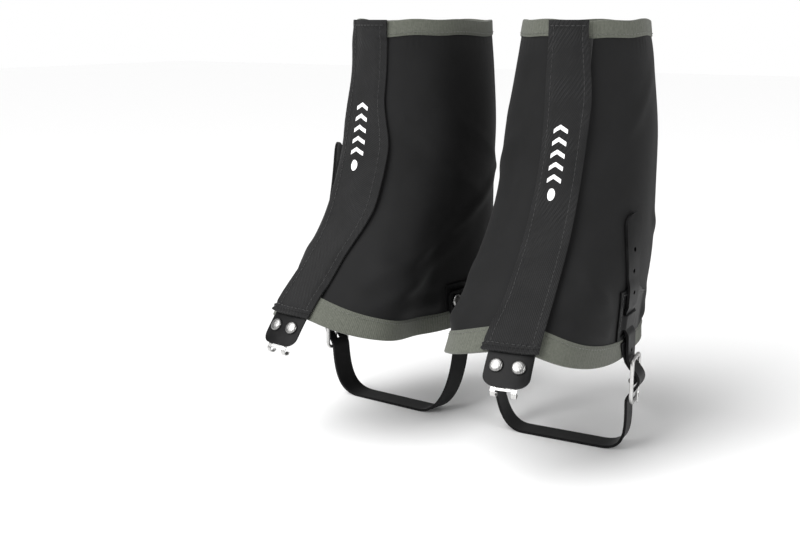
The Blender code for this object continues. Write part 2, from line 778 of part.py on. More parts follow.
def make_keeper_patch(side):
    """Patch on the lateral side whose raised band between two slits holds the strap down."""
    front, rear, slant_from = 0.061, 0.004, 0.032
    top, end = 0.1860, 0.2245
    band_top, band_end = KEEPER_BAND_DROPS
    columns = [rear, 0.011, 0.018, 0.0255, 0.0305, 0.0405, 0.0505, 0.0555, front]
    middle = (band_top + band_end) / 2
    slit_top, slit_end = band_top - KEEPER_SLIT_HEIGHT - 0.0004, band_end + KEEPER_SLIT_HEIGHT + 0.0004
    row_drops = (top, slit_top, band_top, middle, band_end, slit_end, end)

    def drop_at(forward, row):
        if row == 0:
            return top + 0.0085 * smooth_step((slant_from - forward) / (slant_from - rear))
        if row == len(row_drops) - 1:
            return lower_edge(side_angle(forward, end)) - BOTTOM_BINDING_WIDTH - 2 * GAP
        return row_drops[row]

    def lift(forward, drop):
        height = STRAP_THICK + 2 * GAP
        over_strap = 1.0 - smooth_step((abs(forward - 0.0405) - 0.0101) / 0.0048)
        in_band = 1.0 if band_top - 0.0001 <= drop <= band_end + 0.0001 else 0.0
        return height * over_strap * in_band

    def point(forward, row, face):
        drop = drop_at(forward, row)
        base = OVER_SHELL + lift(forward, drop)
        return side_point(forward, drop, base + PATCH_THICK * face)

    def keep(i, j):
        return j not in (1, 4) or not 3 <= i <= 6

    rows = range(len(row_drops))
    return sheet(f"{side}_keeper_patch", side, columns, rows, point, "moulded_rubber", keep)


def make_medial_patch(side):
    """Patch that spreads the strap anchor's load over the medial side."""
    columns = evenly(ANCHOR_FORWARD - 0.017, ANCHOR_FORWARD + 0.017, 7)

    def point(forward, drop, face):
        return side_point(forward, drop, OVER_SHELL + PATCH_THICK * face, flank=-1)

    patch = sheet(
        f"{side}_anchor_patch", side, columns, evenly(0.2030, 0.2240, 4), point, "moulded_rubber"
    )
    for forward in anchor_rivet_places():
        centre = side_point(forward, ANCHOR_RIVET_DROP, OVER_SHELL, flank=-1)
        cut(patch, side, centre, anchor_normal(forward), RIVET_HOLE_RADIUS, 0.006)
    return patch


def make_anchor_rivets(side):
    """Two domed rivets through the strap's head, the patch and the shell."""
    grip = anchor_offset() + STRAP_THICK / 2
    for name, forward in zip(("rear", "front"), anchor_rivet_places()):
        centre = side_point(forward, ANCHOR_RIVET_DROP, grip, flank=-1)
        profile = rivet_profile(grip, 0.0049, 0.0022)
        turned(f"{side}_anchor_rivet_{name}", side, centre, anchor_normal(forward), profile, "steel")


# ---------------------------------------------------------------- buckle


def buckle_tab_path():
    """Tab from the keeper patch, down inside the strap, then round the centre bar and back up."""
    radius = WIRE_RADIUS + GAP + PATCH_THICK / 2
    inside = buckle_run(BUCKLE_DROP - BUCKLE_HALF_HEIGHT).x - STRAP_THICK / 2 - GAP - PATCH_THICK / 2
    points = []
    for drop in BUCKLE_TAB_LEG_DROPS:
        points.append(side_point(BUCKLE_FORWARD, drop, OVER_BINDING + PATCH_THICK / 2))
    for share in (1.0, 0.82, 0.66, 0.5, 0.38):
        strap = buckle_run(BUCKLE_DROP - BUCKLE_HALF_HEIGHT * share)
        back = STRAP_THICK / 2 + GAP + PATCH_THICK / 2
        points.append(Vector((max(strap.x - back * 1.22, inside), BUCKLE_FORWARD, strap.z)))
    for turn in evenly(math.radians(55), math.radians(-215), 12):
        way = Vector((math.cos(turn), 0.0, math.sin(turn)))
        points.append(BUCKLE_CENTRE + way * radius)
    return points


def make_buckle_tab(side):
    """Tapered rubber tab that hangs the buckle's centre bar from the patch."""
    points = buckle_tab_path()
    frames = route_frames(points)
    widths = [0.0165, 0.0135, 0.0110] + [0.0086] * (len(points) - 3)
    slot = 0.0024
    columns = (-1.0, -0.3, 0.3, 1.0)

    def point(column, row, face):
        reach = column * (widths[row] if abs(column) == 1.0 else slot / 0.3)
        if row < len(BUCKLE_TAB_LEG_DROPS):
            offset = OVER_BINDING + PATCH_THICK * (1 - face)
            return side_point(BUCKLE_FORWARD + reach, BUCKLE_TAB_LEG_DROPS[row], offset)
        centre, width_way, normal = frames[row]
        return centre + width_way * reach + normal * PATCH_THICK * (face - 0.5)

    def keep(i, j):
        return i != 1 or j < 6

    rows = range(len(points))
    return sheet(f"{side}_buckle_tab", side, columns, rows, point, "moulded_rubber", keep)


def wire_ring(centre, first, second):
    """Round section of the buckle's wire."""
    turns = [math.tau * k / 8 for k in range(8)]
    return [centre + (first * math.cos(a) + second * math.sin(a)) * WIRE_RADIUS for a in turns]


def make_buckle_frame(side):
    """Rounded wire frame with its centre bar."""
    corner = 0.0045
    rings = []
    for quarter in range(4):
        forward = (BUCKLE_HALF_WIDTH - corner) * (1 if quarter in (0, 3) else -1)
        up = (BUCKLE_HALF_HEIGHT - corner) * (1 if quarter in (0, 1) else -1)
        for turn in evenly(quarter * math.pi / 2, (quarter + 1) * math.pi / 2, 4):
            way = Vector((0.0, math.cos(turn), math.sin(turn)))
            hub = BUCKLE_CENTRE + Vector((0.0, forward, up)) + way * corner
            rings.append(wire_ring(hub, way, Vector((1.0, 0.0, 0.0))))
    frame = loft(f"{side}_buckle_frame", side, rings, "steel", closed=True)
    ends = [BUCKLE_CENTRE + Vector((0.0, BUCKLE_HALF_WIDTH * k, 0.0)) for k in (-1.0, 1.0)]
    bar_rings = [wire_ring(end, Vector((1.0, 0.0, 0.0)), Vector((0.0, 0.0, 1.0))) for end in ends]
    bar = loft(f"{side}_centre_bar_cutter", side, bar_rings, "steel")
    bar.hide_render = True
    bar.display_type = "WIRE"
    union = frame.modifiers.new("centre_bar", "BOOLEAN")
    union.operation = "UNION"
    union.solver = "EXACT"
    union.object = bar
    return frame


def make_buckle_pin(side):
    """Pin that turns on the centre bar, passes the strap's hole and rests on the lower crossbar."""
    ring = WIRE_RADIUS + GAP + 0.0005
    thickness = 0.0010
    points = []
    for turn in evenly(math.radians(-60), math.radians(230), 12):
        points.append(BUCKLE_CENTRE + Vector((math.cos(turn), 0.0, math.sin(turn))) * ring)
    points.reverse()
    rest = BUCKLE_CENTRE + Vector((WIRE_RADIUS + GAP + 0.0006, 0.0, -BUCKLE_HALF_HEIGHT))
    start = points[-1]
    for share in (0.35, 0.7, 1.0):
        points.append(start + (rest - start) * share)
    points.append(rest + (rest - start).normalized() * 0.0026)
    frames = route_frames(points)
    half = 0.0012

    def point(column, row, face):
        centre, width_way, normal = frames[row]
        return centre + width_way * column * half + normal * thickness * (face - 0.5)

    rows = range(len(points))
    return sheet(f"{side}_buckle_pin", side, (-1.0, 1.0), rows, point, "steel")


# ---------------------------------------------------------------- assembly


def make_gaiter(side):
    """One complete gaiter and the pivots of its moving pieces."""
    make_shell(side)
    make_binding(side, "top_binding", lambda angle: 0.0, 1.0, TOP_BINDING_WIDTH)
    make_binding(side, "bottom_binding", lower_edge, -1.0, BOTTOM_BINDING_WIDTH)
    make_front_strip(side, "loop_strip", OVER_SHELL, LOOP_FACE)
    hook_strip = make_front_strip(side, "hook_strip", HOOK_BACK, HOOK_FACE)
    flap = make_flap(side)
    tab = make_hook_tab(side)
    lace_hook = make_lace_hook(side)
    tab_rivets = make_tab_rivets(side)
    make_keeper_patch(side)
    make_medial_patch(side)
    make_anchor_rivets(side)
    make_buckle_tab(side)
    frame = make_buckle_frame(side)
    pin = make_buckle_pin(side)
    make_foot_strap(side)
    tail = make_strap_tail(side)

    seam_out = FLAP_BACK + FLAP_THICK + 0.0005
    seam = [
        leg_point(front_angle(flap_centre(drop) - FLAP_WIDTH / 2, drop), drop, seam_out)
        for drop in (0.0, FLAP_DROP)
    ]
    hinge("flap_hinge", side, (seam[0] + seam[1]) / 2, (seam[0] - seam[1]).normalized(), [flap, hook_strip])

    bend_drop = tab_top(0.0) - HOOK_TAB_CLEARANCE / 2
    outward, down = leg_axes(tab_angle(0.0, bend_drop), bend_drop)
    bend_line = tab_point(0.0, bend_drop, OVER_BINDING)
    hinge("hook_tab_hinge", side, bend_line, down.cross(outward), [tab, lace_hook, *tab_rivets])

    bar_way = Vector((0.0, 1.0, 0.0))
    hinge("buckle_frame_hinge", side, BUCKLE_CENTRE, bar_way, [frame])
    hinge("buckle_pin_hinge", side, BUCKLE_CENTRE, bar_way, [pin])

    drop = TAIL_SPLIT_DROP
    tail_face = strap_offset(drop) + STRAP_THICK / 2
    edges = [
        side_point(strap_forward(drop) + reach, drop, tail_face)
        for reach in (-STRAP_WIDTH / 2, STRAP_WIDTH / 2)
    ]
    hinge("strap_tail_hinge", side, (edges[0] + edges[1]) / 2, edges[1] - edges[0], [tail])


def main():
    for item in list(bpy.data.objects):
        bpy.data.objects.remove(item, do_unlink=True)
    for side in SIDES:
        make_gaiter(side)


main()
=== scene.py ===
"""Looks of the pair of hiking gaiters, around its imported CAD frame.

Each visible piece is drawn in its gaiter's own frame: lateral (away from the other leg), forward
(to the toe) and up, on the same leg outline as the CAD. "Drop" is the distance below the top edge,
"offset" the distance out from the leg's surface, and "across" the distance from the flap's middle
towards the lateral side. Lengths are metres.
"""

from bisect import bisect_right
from functools import lru_cache, partial
from itertools import accumulate, product
from math import acos, atan2, cos, dist, exp, pi, radians, sin, sqrt, tau

import bmesh
import bpy
from mathutils import Matrix, Vector

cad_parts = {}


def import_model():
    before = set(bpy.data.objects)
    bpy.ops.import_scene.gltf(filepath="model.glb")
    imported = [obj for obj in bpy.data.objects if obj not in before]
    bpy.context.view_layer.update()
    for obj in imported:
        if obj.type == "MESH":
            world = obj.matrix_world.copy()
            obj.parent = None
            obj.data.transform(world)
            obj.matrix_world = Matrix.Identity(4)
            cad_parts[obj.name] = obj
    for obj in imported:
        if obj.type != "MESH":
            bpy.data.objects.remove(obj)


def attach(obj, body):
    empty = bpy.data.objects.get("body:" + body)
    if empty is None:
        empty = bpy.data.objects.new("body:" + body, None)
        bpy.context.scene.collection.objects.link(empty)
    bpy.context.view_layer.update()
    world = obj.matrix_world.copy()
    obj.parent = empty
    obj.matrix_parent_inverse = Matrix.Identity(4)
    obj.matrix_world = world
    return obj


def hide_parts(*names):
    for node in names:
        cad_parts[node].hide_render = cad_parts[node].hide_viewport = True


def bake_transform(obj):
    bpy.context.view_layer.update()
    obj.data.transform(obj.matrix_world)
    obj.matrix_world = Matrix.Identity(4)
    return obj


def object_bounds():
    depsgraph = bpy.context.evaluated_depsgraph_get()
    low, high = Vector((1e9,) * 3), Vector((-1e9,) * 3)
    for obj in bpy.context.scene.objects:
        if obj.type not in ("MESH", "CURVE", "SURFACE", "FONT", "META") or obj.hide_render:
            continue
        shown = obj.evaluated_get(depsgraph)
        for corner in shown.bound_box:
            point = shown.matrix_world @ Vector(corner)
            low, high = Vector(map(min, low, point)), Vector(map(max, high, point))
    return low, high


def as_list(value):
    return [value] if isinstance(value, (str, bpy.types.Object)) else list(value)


SIDES = {"left": 1, "right": -1}
LATERAL, FORWARD, UP = Vector((1.0, 0.0, 0.0)), Vector((0.0, 1.0, 0.0)), Vector((0.0, 0.0, 1.0))

# Stance and leg outline, as in the CAD; a station is drop, half width, reach to front and to back
RIM_HEIGHT = 0.312
LEG_SPACING = 0.146
TOE_OUT = radians(9.0)
PAIR_BACK_SHIFT = 0.0392
LEG_STATIONS = (
    (0.000, 0.0425, 0.0480, 0.0790),
    (0.040, 0.0495, 0.0505, 0.0800),
    (0.080, 0.0555, 0.0580, 0.0780),
    (0.120, 0.0567, 0.0690, 0.0730),
    (0.155, 0.0569, 0.0855, 0.0720),
    (0.185, 0.0562, 0.1110, 0.0720),
    (0.215, 0.0548, 0.1410, 0.0725),
    (0.255, 0.0560, 0.1700, 0.0730),
)
BLUNT_FROM, BLUNT_BY, BLUNTNESS = 0.080, 0.200, 0.5
FLARE_FROM, FLARE_BY, FLARE = 0.090, 0.230, 0.45
LATERAL_SLIM, ARCH_SLIM = 0.055, 0.100
SIDE_DROP, FRONT_RISE, RISE_ANGLE = 0.239, 0.025, radians(82.0)

# Layer stack, as in the CAD
GAP = 0.0003
SHELL_THICK, TAPE_THICK, STRIP_THICK, PATCH_THICK = 0.0010, 0.0007, 0.0009, 0.0012
STRAP_THICK, TAB_THICK, HOOK_THICK = 0.0020, 0.0014, 0.0009
STITCH_LENGTH, STITCH_GAP, THREAD_RADIUS = 0.0026, 0.0011, 0.00026
OVER_SHELL = SHELL_THICK + GAP
TAPE_FACE = OVER_SHELL + TAPE_THICK
OVER_TAPE = TAPE_FACE + GAP
HOOK_BACK = OVER_SHELL + STRIP_THICK + GAP
TAB_FACE = OVER_TAPE + TAB_THICK
FLAP_BACK = TAB_FACE + GAP
ANCHOR_OFFSET = OVER_SHELL + PATCH_THICK + GAP + STRAP_THICK / 2

# Tapes, flap and tab; the flap bends between two distances from its straight hinge line
TOP_TAPE, BOTTOM_TAPE = 0.012, 0.014
RIB_PITCH = 0.0017
FLAP_HALF, FLAP_DROP, FLAP_THICK = 0.017, 0.2165, 0.0012
FLAP_LENGTH = 0.262
FLAP_BEND = {"left": (0.0080, 0.0108), "right": (0.0043, 0.0090)}
HEM_FOLD, END_SEAM = 0.0045, 0.0046
MARK_TOPS = {"left": 0.072, "right": 0.063}
TAB_HALF, TAB_ROOT_DROP, TAB_END_DROP = 0.0155, 0.2060, 0.2350
TAB_CORNER = 0.0075
TAB_RIVET_DROP, TAB_RIVET_HALF = 0.2235, 0.0075
HOOK_PLATE_DROPS = (0.2190, 0.2280)
RIVET_RADIUS, RIVET_HEIGHT = 0.0049, 0.0022

# Strap, keeper, buckle and anchor
STRAP_HALF = 0.009
BUCKLE_DROP, BUCKLE_FORWARD = 0.2545, 0.036
BUCKLE_HALF_HEIGHT, BUCKLE_HALF_WIDTH, BUCKLE_CORNER = 0.0164, 0.0112, 0.0045
WIRE_RADIUS, CROSSBAR_CLEARANCE = 0.0015, 0.0016
PATCH_DROPS, BAND_DROPS, SLIT_HEIGHT = (0.1860, 0.2245), (0.2045, 0.2145), 0.0065
HOLE_RADIUS, HOLE_PITCH = 0.0017, 0.015
TAIL_END_DROPS = {"left": 0.133, "right": 0.098}
TAIL_ROOT_DROP, TIP_LENGTH = 0.197, 0.011
ANCHOR_FORWARD, ANCHOR_RIVET_HALF, ANCHOR_RIVET_DROP = 0.0105, 0.007, 0.2165
ANCHOR_HEAD_HALF = 0.014

# Where the shell's cloth is held flat: middle, half width, soft edge, top drop, soft top
STRAP_AREA = (0.034, 0.034, 0.012, 0.092, 0.020)
ANCHOR_AREA = (ANCHOR_FORWARD, 0.019, 0.010, 0.196, 0.012)

# Camera and lights
CAMERA_AZIMUTH, CAMERA_PITCH = radians(33.0), radians(12.41)
CAMERA_DISTANCE, CAMERA_SLIDE, CAMERA_LENS = 0.90, -0.0736, 51.96
WORLD_LIGHT, SUN_LIGHT = 0.40, 2.7


# ---- Outline


def smooth(value):
    """Goes from 0 to 1 with level ends."""
    value = min(max(value, 0.0), 1.0)
    return value * value * (3.0 - 2.0 * value)


def bump_at(value, centre, width):
    """Round bump of height 1 at the centre."""
    return exp(-(((value - centre) / width) ** 2))


def evenly(first, last, count):
    """Evenly spaced values, both ends included."""
    return [first + (last - first) * i / (count - 1) for i in range(count)]


@lru_cache(maxsize=None)
def stations_at(drop):
    """Half width, reach to the front and reach to the back at a drop, on smooth curves."""
    drop = min(max(drop, LEG_STATIONS[0][0]), LEG_STATIONS[-1][0])
    index = max(i for i, station in enumerate(LEG_STATIONS[:-1]) if station[0] <= drop)
    before = LEG_STATIONS[max(index - 1, 0)]
    low, high = LEG_STATIONS[index], LEG_STATIONS[index + 1]
    after = LEG_STATIONS[min(index + 2, len(LEG_STATIONS) - 1)]
    span = high[0] - low[0]
    t = (drop - low[0]) / span
    values = []
    for column in (1, 2, 3):
        slope_low = (high[column] - before[column]) / (high[0] - before[0])
        slope_high = (after[column] - low[column]) / (after[0] - low[0])
        values.append(
            (2 * t**3 - 3 * t**2 + 1) * low[column]
            + (t**3 - 2 * t**2 + t) * span * slope_low
            + (3 * t**2 - 2 * t**3) * high[column]
            + (t**3 - t**2) * span * slope_high
        )
    return values


def bluntness(drop):
    """Exponent of the front half's outline."""
    return 2.0 + BLUNTNESS * smooth((drop - BLUNT_FROM) / (BLUNT_BY - BLUNT_FROM))


def medial_flare(drop):
    """Share by which the medial front bulges further out, over the ball of the foot."""
    return FLARE * smooth((drop - FLARE_FROM) / (FLARE_BY - FLARE_FROM))


def lateral_share(drop):
    """Width of the lateral half as a share of the medial half's, least at the outer arch."""
    return 1.0 - LATERAL_SLIM * smooth(drop / 0.100) - ARCH_SLIM * smooth((drop - 0.160) / 0.080)


def leg_surface(angle, drop):
    """Point on the leg's surface; angle 0 is the toe line and 90 degrees is lateral."""
    sine, cosine = sin(angle), cos(angle)
    half_width, front, back = stations_at(drop)
    reach = back
    if sine > 0.0:
        half_width *= lateral_share(drop)
    if cosine > 0.0:
        power = bluntness(drop)
        size = (abs(sine) ** power + cosine**power) ** (1.0 / power)
        sine, cosine = sine / size, cosine / size
        reach = front
        if sine < 0.0:
            half_width *= 1.0 + medial_flare(drop) * smooth((cosine - 0.34) / 0.44)
    return Vector((half_width * sine, reach * cosine, RIM_HEIGHT - drop))


@lru_cache(maxsize=None)
def leg_frame(angle, drop):
    """Surface point, outward normal and downward direction."""
    step = 0.002
    across = leg_surface(angle + step, drop) - leg_surface(angle - step, drop)
    down = leg_surface(angle, drop + step) - leg_surface(angle, drop - step)
    return leg_surface(angle, drop), across.cross(down).normalized(), down.normalized()


def leg_point(angle, drop, offset):
    """Point at an offset out from the leg's surface."""
    surface, normal, _ = leg_frame(angle, drop)
    return surface + normal * offset


def front_angle(lateral, drop):
    """Angle of the point that lies this far to the side on the leg's front."""
    share = lateral / stations_at(drop)[0]
    share /= lateral_share(drop) if lateral > 0.0 else 1.0 + medial_flare(drop)
    power = bluntness(drop)
    return atan2(share, (1.0 - abs(share) ** power) ** (1.0 / power))


def front_normal(lateral, drop):
    """Outward direction on the leg's front."""
    return leg_frame(front_angle(lateral, drop), drop)[1]


def side_angle(forward, drop):
    """Angle of the point that lies this far forward on the leg's lateral side."""
    _, front, back = stations_at(drop)
    if forward < 0.0:
        return acos(forward / back)
    share = forward / front
    power = bluntness(drop)
    return atan2((1.0 - share**power) ** (1.0 / power), share)


def side_point(forward, drop, offset, flank=1):
    """Point on the lateral side, or with flank -1 on the medial side."""
    return leg_point(flank * side_angle(forward, drop), drop, offset)


def side_normal(forward, drop, flank=1):
    """Outward direction on the lateral side, or with flank -1 on the medial side."""
    return leg_frame(flank * side_angle(forward, drop), drop)[1]


def place(side, point):
    """Turns a gaiter-frame point into the pair's own frame."""
    x = LEG_SPACING / 2 + point[0] * cos(TOE_OUT) + point[1] * sin(TOE_OUT)
    y = PAIR_BACK_SHIFT + point[0] * sin(TOE_OUT) - point[1] * cos(TOE_OUT)
    return Vector((SIDES[side] * x, y, point[2]))


def place_way(side, way):
    """Turns a gaiter-frame direction into the pair's own frame."""
    return (place(side, way) - place(side, Vector((0.0, 0.0, 0.0)))).normalized()


def toe_turn(angle):
    """The same angle, measured within half a turn from the toe line."""
    return (angle + pi) % tau - pi


def flap_centre(drop):
    """Sideways place of the flap's middle."""
    return 0.004 - 0.035 * drop


def lower_edge(angle):
    """Drop of the shell's lower edge, which arches up over the instep."""
    return SIDE_DROP - FRONT_RISE * (1.0 - smooth(abs(toe_turn(angle)) / RISE_ANGLE))


def shell_angle(share, drop):
    """Angle around the leg, from the front opening's lateral end (0) to its medial end (1)."""
    start = front_angle(flap_centre(drop) - 0.006, drop)
    end = tau + front_angle(flap_centre(drop) - 0.009, drop)
    return start + (end - start) * share


def edge_length(edge_drop):
    """Length of the shell's cloth along an edge."""
    points = []
    for share in evenly(0.0, 1.0, 200):
        drop = edge_drop(shell_angle(share, SIDE_DROP))
        points.append(leg_surface(shell_angle(share, drop), drop))
    return sum((after - before).length for before, after in zip(points, points[1:]))


# ---- Materials


def configure(item, **settings):
    """Sets attributes of a Blender item and returns it."""
    for name, value in settings.items():
        setattr(item, name, value)
    return item


def add_node(tree, kind, output, slots, **settings):
    """Adds a shader node; each slot gets a number, a colour or a link. Returns one output."""
    node = configure(tree.nodes.new("ShaderNode" + kind), **settings)
    for slot, value in slots.items():
        if isinstance(value, bpy.types.NodeSocket):
            tree.links.new(value, node.inputs[slot])
        else:
            node.inputs[slot].default_value = value
    return node.outputs[output]


MATERIALS = {}


class Stock:
    """A Principled material in one of the record's slots, and the textures that it is made of."""

    def __init__(self, name, slot, colour, roughness, metallic=0.0, sheen=0.0, specular=0.5):
        self.made = bpy.data.materials.new(name)
        self.made.use_nodes = True
        self.tree = self.made.node_tree
        self.shader = self.tree.nodes["Principled BSDF"].inputs
        values = {"Base Color": (*colour, 1.0), "Roughness": roughness, "Metallic": metallic}
        values |= {"Specular IOR Level": specular, "Sheen Weight": sheen, "Sheen Roughness": 0.45}
        for socket, value in values.items():
            self.shader[socket].default_value = value
        MATERIALS[name] = (self.made, slot)

    def in_place(self):
        """Coordinates in metres in the piece's own space."""
        return add_node(self.tree, "TexCoord", "Object", {})

    def on_cloth(self, degrees):
        """Cloth coordinates in metres, across and along the piece, turned in its plane."""
        flat = add_node(self.tree, "UVMap", "UV", {}, uv_map="cloth")
        slots = {"Vector": flat, "Rotation": (0.0, 0.0, radians(degrees))}
        return add_node(self.tree, "Mapping", "Vector", slots)

    def stripes(self, pitch, degrees=0.0, distortion=0.0, vector=None):
        """Parallel ridges of a pitch, turned in the cloth's plane."""
        slots = {"Scale": tau / 20.0 / pitch, "Distortion": distortion, "Detail": 1.0}
        slots |= {"Vector": vector or self.on_cloth(degrees), "Detail Scale": 0.4}
        return add_node(self.tree, "TexWave", "Fac", slots)

    def speckle(self, size, detail=2.0):
        """Noise whose grains are about this size."""
        slots = {"Vector": self.in_place(), "Scale": 1.0 / size, "Detail": detail}
        return add_node(self.tree, "TexNoise", "Fac", slots)

    def times(self, first, second):
        """Product of two values, each a socket or a number."""
        return add_node(self.tree, "Math", "Value", {0: first, 1: second}, operation="MULTIPLY")

    def mix(self, first, first_share, second, second_share):
        """Weighted sum of two values."""
        parts = {0: self.times(first, first_share), 1: self.times(second, second_share)}
        return add_node(self.tree, "Math", "Value", parts, operation="ADD")

    def spread(self, value, low, high, dark, light):
        """Colour that runs from dark to light as the value goes from low to high."""
        ramp = self.tree.nodes.new("ShaderNodeValToRGB")
        for element, position, colour in zip(ramp.color_ramp.elements, (low, high), (dark, light)):
            element.position = position
            element.color = (*colour, 1.0)
        self.tree.links.new(value, ramp.inputs["Fac"])
        return ramp.outputs["Color"]

    def paint(self, value, low, high, dark, light):
        """Colours the surface by a value."""
        self.tree.links.new(self.spread(value, low, high, dark, light), self.shader["Base Color"])

    def roughen(self, value, low, high):
        """Varies the roughness by a value that goes from 0 to 1."""
        slots = {"Value": value, "To Min": low, "To Max": high}
        self.tree.links.new(add_node(self.tree, "MapRange", "Result", slots), self.shader["Roughness"])

    def bump(self, *layers):
        """Stacks bump layers of (height, depth in metres, strength)."""
        below = {}
        for height, depth, strength in layers:
            slots = {"Height": height, "Distance": depth, "Strength": strength}
            below = {"Normal": add_node(self.tree, "Bump", "Normal", slots | below)}
        self.tree.links.new(below["Normal"], self.shader["Normal"])


def softshell():
    """Smooth black stretch cloth with a fine knit face."""
    stock = Stock("softshell", "shell_cloth", (0.01, 0.01, 0.01), 0.72, sheen=0.05, specular=0.12)
    knit = stock.times(stock.stripes(0.00070), stock.stripes(0.00055, degrees=90.0))
    broad = stock.speckle(0.030, 3.0)
    fuzz = stock.speckle(0.0008)
    shade = stock.mix(knit, 0.25, broad, 0.75)
    stock.paint(shade, 0.25, 0.75, (0.0070, 0.0070, 0.0072), (0.0125, 0.0125, 0.0128))
    stock.roughen(broad, 0.62, 0.80)
    stock.bump((broad, 0.0010, 0.35), (fuzz, 0.00008, 0.5), (knit, 0.00008, 0.7))


def twill():
    """Dark grey twill with fine diagonal ribs, drawn into finer creases in patches."""
    stock = Stock("twill", "flap_twill", (0.015, 0.015, 0.015), 0.62, sheen=0.06, specular=0.12)
    ribs = stock.stripes(0.0011, degrees=38.0, distortion=0.6)
    weft = stock.stripes(0.00055, degrees=-52.0)
    grain = stock.speckle(0.0011)
    broad = stock.speckle(0.022, 3.0)
    patches = stock.spread(broad, 0.45, 0.65, (0.0, 0.0, 0.0), (1.0, 1.0, 1.0))
    drawn = stock.times(stock.stripes(0.0026, degrees=-30.0, distortion=2.5), patches)
    shade = stock.mix(ribs, 0.40, broad, 0.60)
    stock.paint(shade, 0.25, 0.80, (0.0062, 0.0062, 0.0064), (0.0165, 0.0165, 0.0169))
    stock.roughen(grain, 0.52, 0.72)
    cloth = ((broad, 0.0009, 0.3), (drawn, 0.0005, 0.7), (grain, 0.00010, 0.4))
    stock.bump(*cloth, (weft, 0.00006, 0.5), (ribs, 0.00018, 0.8))


def elastic():
    """Olive-grey elastic tape, paler on its ribs."""
    stock = Stock("elastic", "binding_elastic", (0.12, 0.125, 0.105), 0.85, sheen=0.2, specular=0.2)
    threads = stock.stripes(0.0008)
    cross = stock.stripes(0.0011, degrees=90.0)
    grain = stock.speckle(0.0015, 3.0)
    broad = stock.speckle(0.012)
    shade = stock.mix(cross, 0.35, grain, 0.65)
    stock.paint(shade, 0.20, 0.85, (0.062, 0.066, 0.054), (0.130, 0.136, 0.113))
    fine = ((threads, 0.00010, 0.7), (cross, 0.00008, 0.5))
    stock.bump((broad, 0.0005, 0.3), (grain, 0.00012, 0.5), *fine)


def fastener(name, colour, grain_size, depth):
    """Hook or loop face: a dense pile of nylon."""
    stock = Stock(name, "fastener_nylon", colour, 0.9, sheen=0.15)
    pile = stock.speckle(grain_size, 4.0)
    stock.paint(pile, 0.3, 0.7, colour, tuple(1.6 * value for value in colour))
    stock.bump((pile, depth, 1.0))


def moulded():
    """Charcoal moulded urethane with a fine leather-like grain, a painted highlight on its convex edges
    and painted shade in its hollows.
    """
    stock = Stock("moulded", "moulded_rubber", (0.02, 0.02, 0.02), 0.50, specular=0.11)
    grain = stock.speckle(0.0009, 3.0)
    broad = stock.speckle(0.010)
    # Pointiness mask: painted highlight on convex edges and painted shade in hollows and creases, mixed
    # into the base colour.
    edge = add_node(stock.tree, "NewGeometry", "Pointiness", {})
    shade = stock.mix(broad, 0.5, edge, 0.5)
    stock.paint(shade, 0.42, 0.62, (0.0030, 0.0030, 0.0032), (0.0080, 0.0080, 0.0083))
    stock.roughen(broad, 0.38, 0.54)
    stock.bump((broad, 0.0003, 0.3), (grain, 0.00007, 0.6))


def steel(name, dark, light):
    """Nickel-plated steel, brushed, with faint handling marks."""
    stock = Stock(name, "steel", light, 0.28, metallic=1.0)
    marks = stock.speckle(0.0016, 4.0)
    broad = stock.speckle(0.006)
    brushed = stock.stripes(0.0009, vector=stock.in_place())
    stock.paint(stock.mix(broad, 0.5, brushed, 0.5), 0.2, 0.8, dark, light)
    stock.roughen(marks, 0.20, 0.42)
    stock.bump((marks, 0.00003, 0.4), (brushed, 0.00008, 0.6))


def thread(name, slot, dark, light):
    """Sewing thread with a twist."""
    stock = Stock(name, slot, dark, 0.6, sheen=0.4)
    twist = stock.speckle(0.0006, 1.0)
    stock.paint(twist, 0.3, 0.7, dark, light)
    stock.bump((twist, 0.00006, 0.6))


def white_print():
    """White transfer print, slightly worn."""
    stock = Stock("white_print", "flap_twill", (0.80, 0.80, 0.80), 0.5)
    wear = stock.speckle(0.0012, 3.0)
    stock.paint(wear, 0.25, 0.45, (0.62, 0.62, 0.62), (0.83, 0.83, 0.83))
    stock.roughen(wear, 0.40, 0.60)
    stock.bump((wear, 0.00004, 0.5))


def make_materials():
    """Fills the table of materials."""
    softshell()
    twill()
    elastic()
    fastener("loop_pile", (0.010, 0.010, 0.010), 0.0007, 0.0004)
    fastener("hook_pile", (0.014, 0.014, 0.014), 0.0011, 0.0005)
    moulded()
    steel("bright_steel", (0.40, 0.398, 0.392), (0.66, 0.656, 0.646))
    steel("rivet_steel", (0.12, 0.119, 0.117), (0.44, 0.437, 0.43))
    thread("dark_thread", "flap_twill", (0.004, 0.004, 0.0042), (0.016, 0.016, 0.0165))
    thread("olive_thread", "binding_elastic", (0.050, 0.053, 0.044), (0.105, 0.110, 0.092))
    white_print()


# ---- Mesh tools


def to_mesh(name, mesh_data):
    """Turns a bmesh into a mesh."""
    mesh = bpy.data.meshes.new(name)
    mesh_data.to_mesh(mesh)
    mesh_data.free()
    return mesh


def add_object(name, data):
    """Puts a new object into the scene."""
    made = bpy.data.objects.new(name, data)
    bpy.context.scene.collection.objects.link(made)
    return made


def new_piece(side, name, mesh_data, stock):
    """Turns a bmesh into a smooth-shaded piece of one of the materials."""
    bmesh.ops.recalc_face_normals(mesh_data, faces=mesh_data.faces)
    material, slot = MATERIALS[stock]
    mesh = to_mesh(f"{side}_{name}", mesh_data)
    mesh.materials.append(material)
    mesh.shade_smooth()
    mesh.set_sharp_from_angle(angle=radians(55.0))
    return add_object(f"{side}_{name}", mesh)


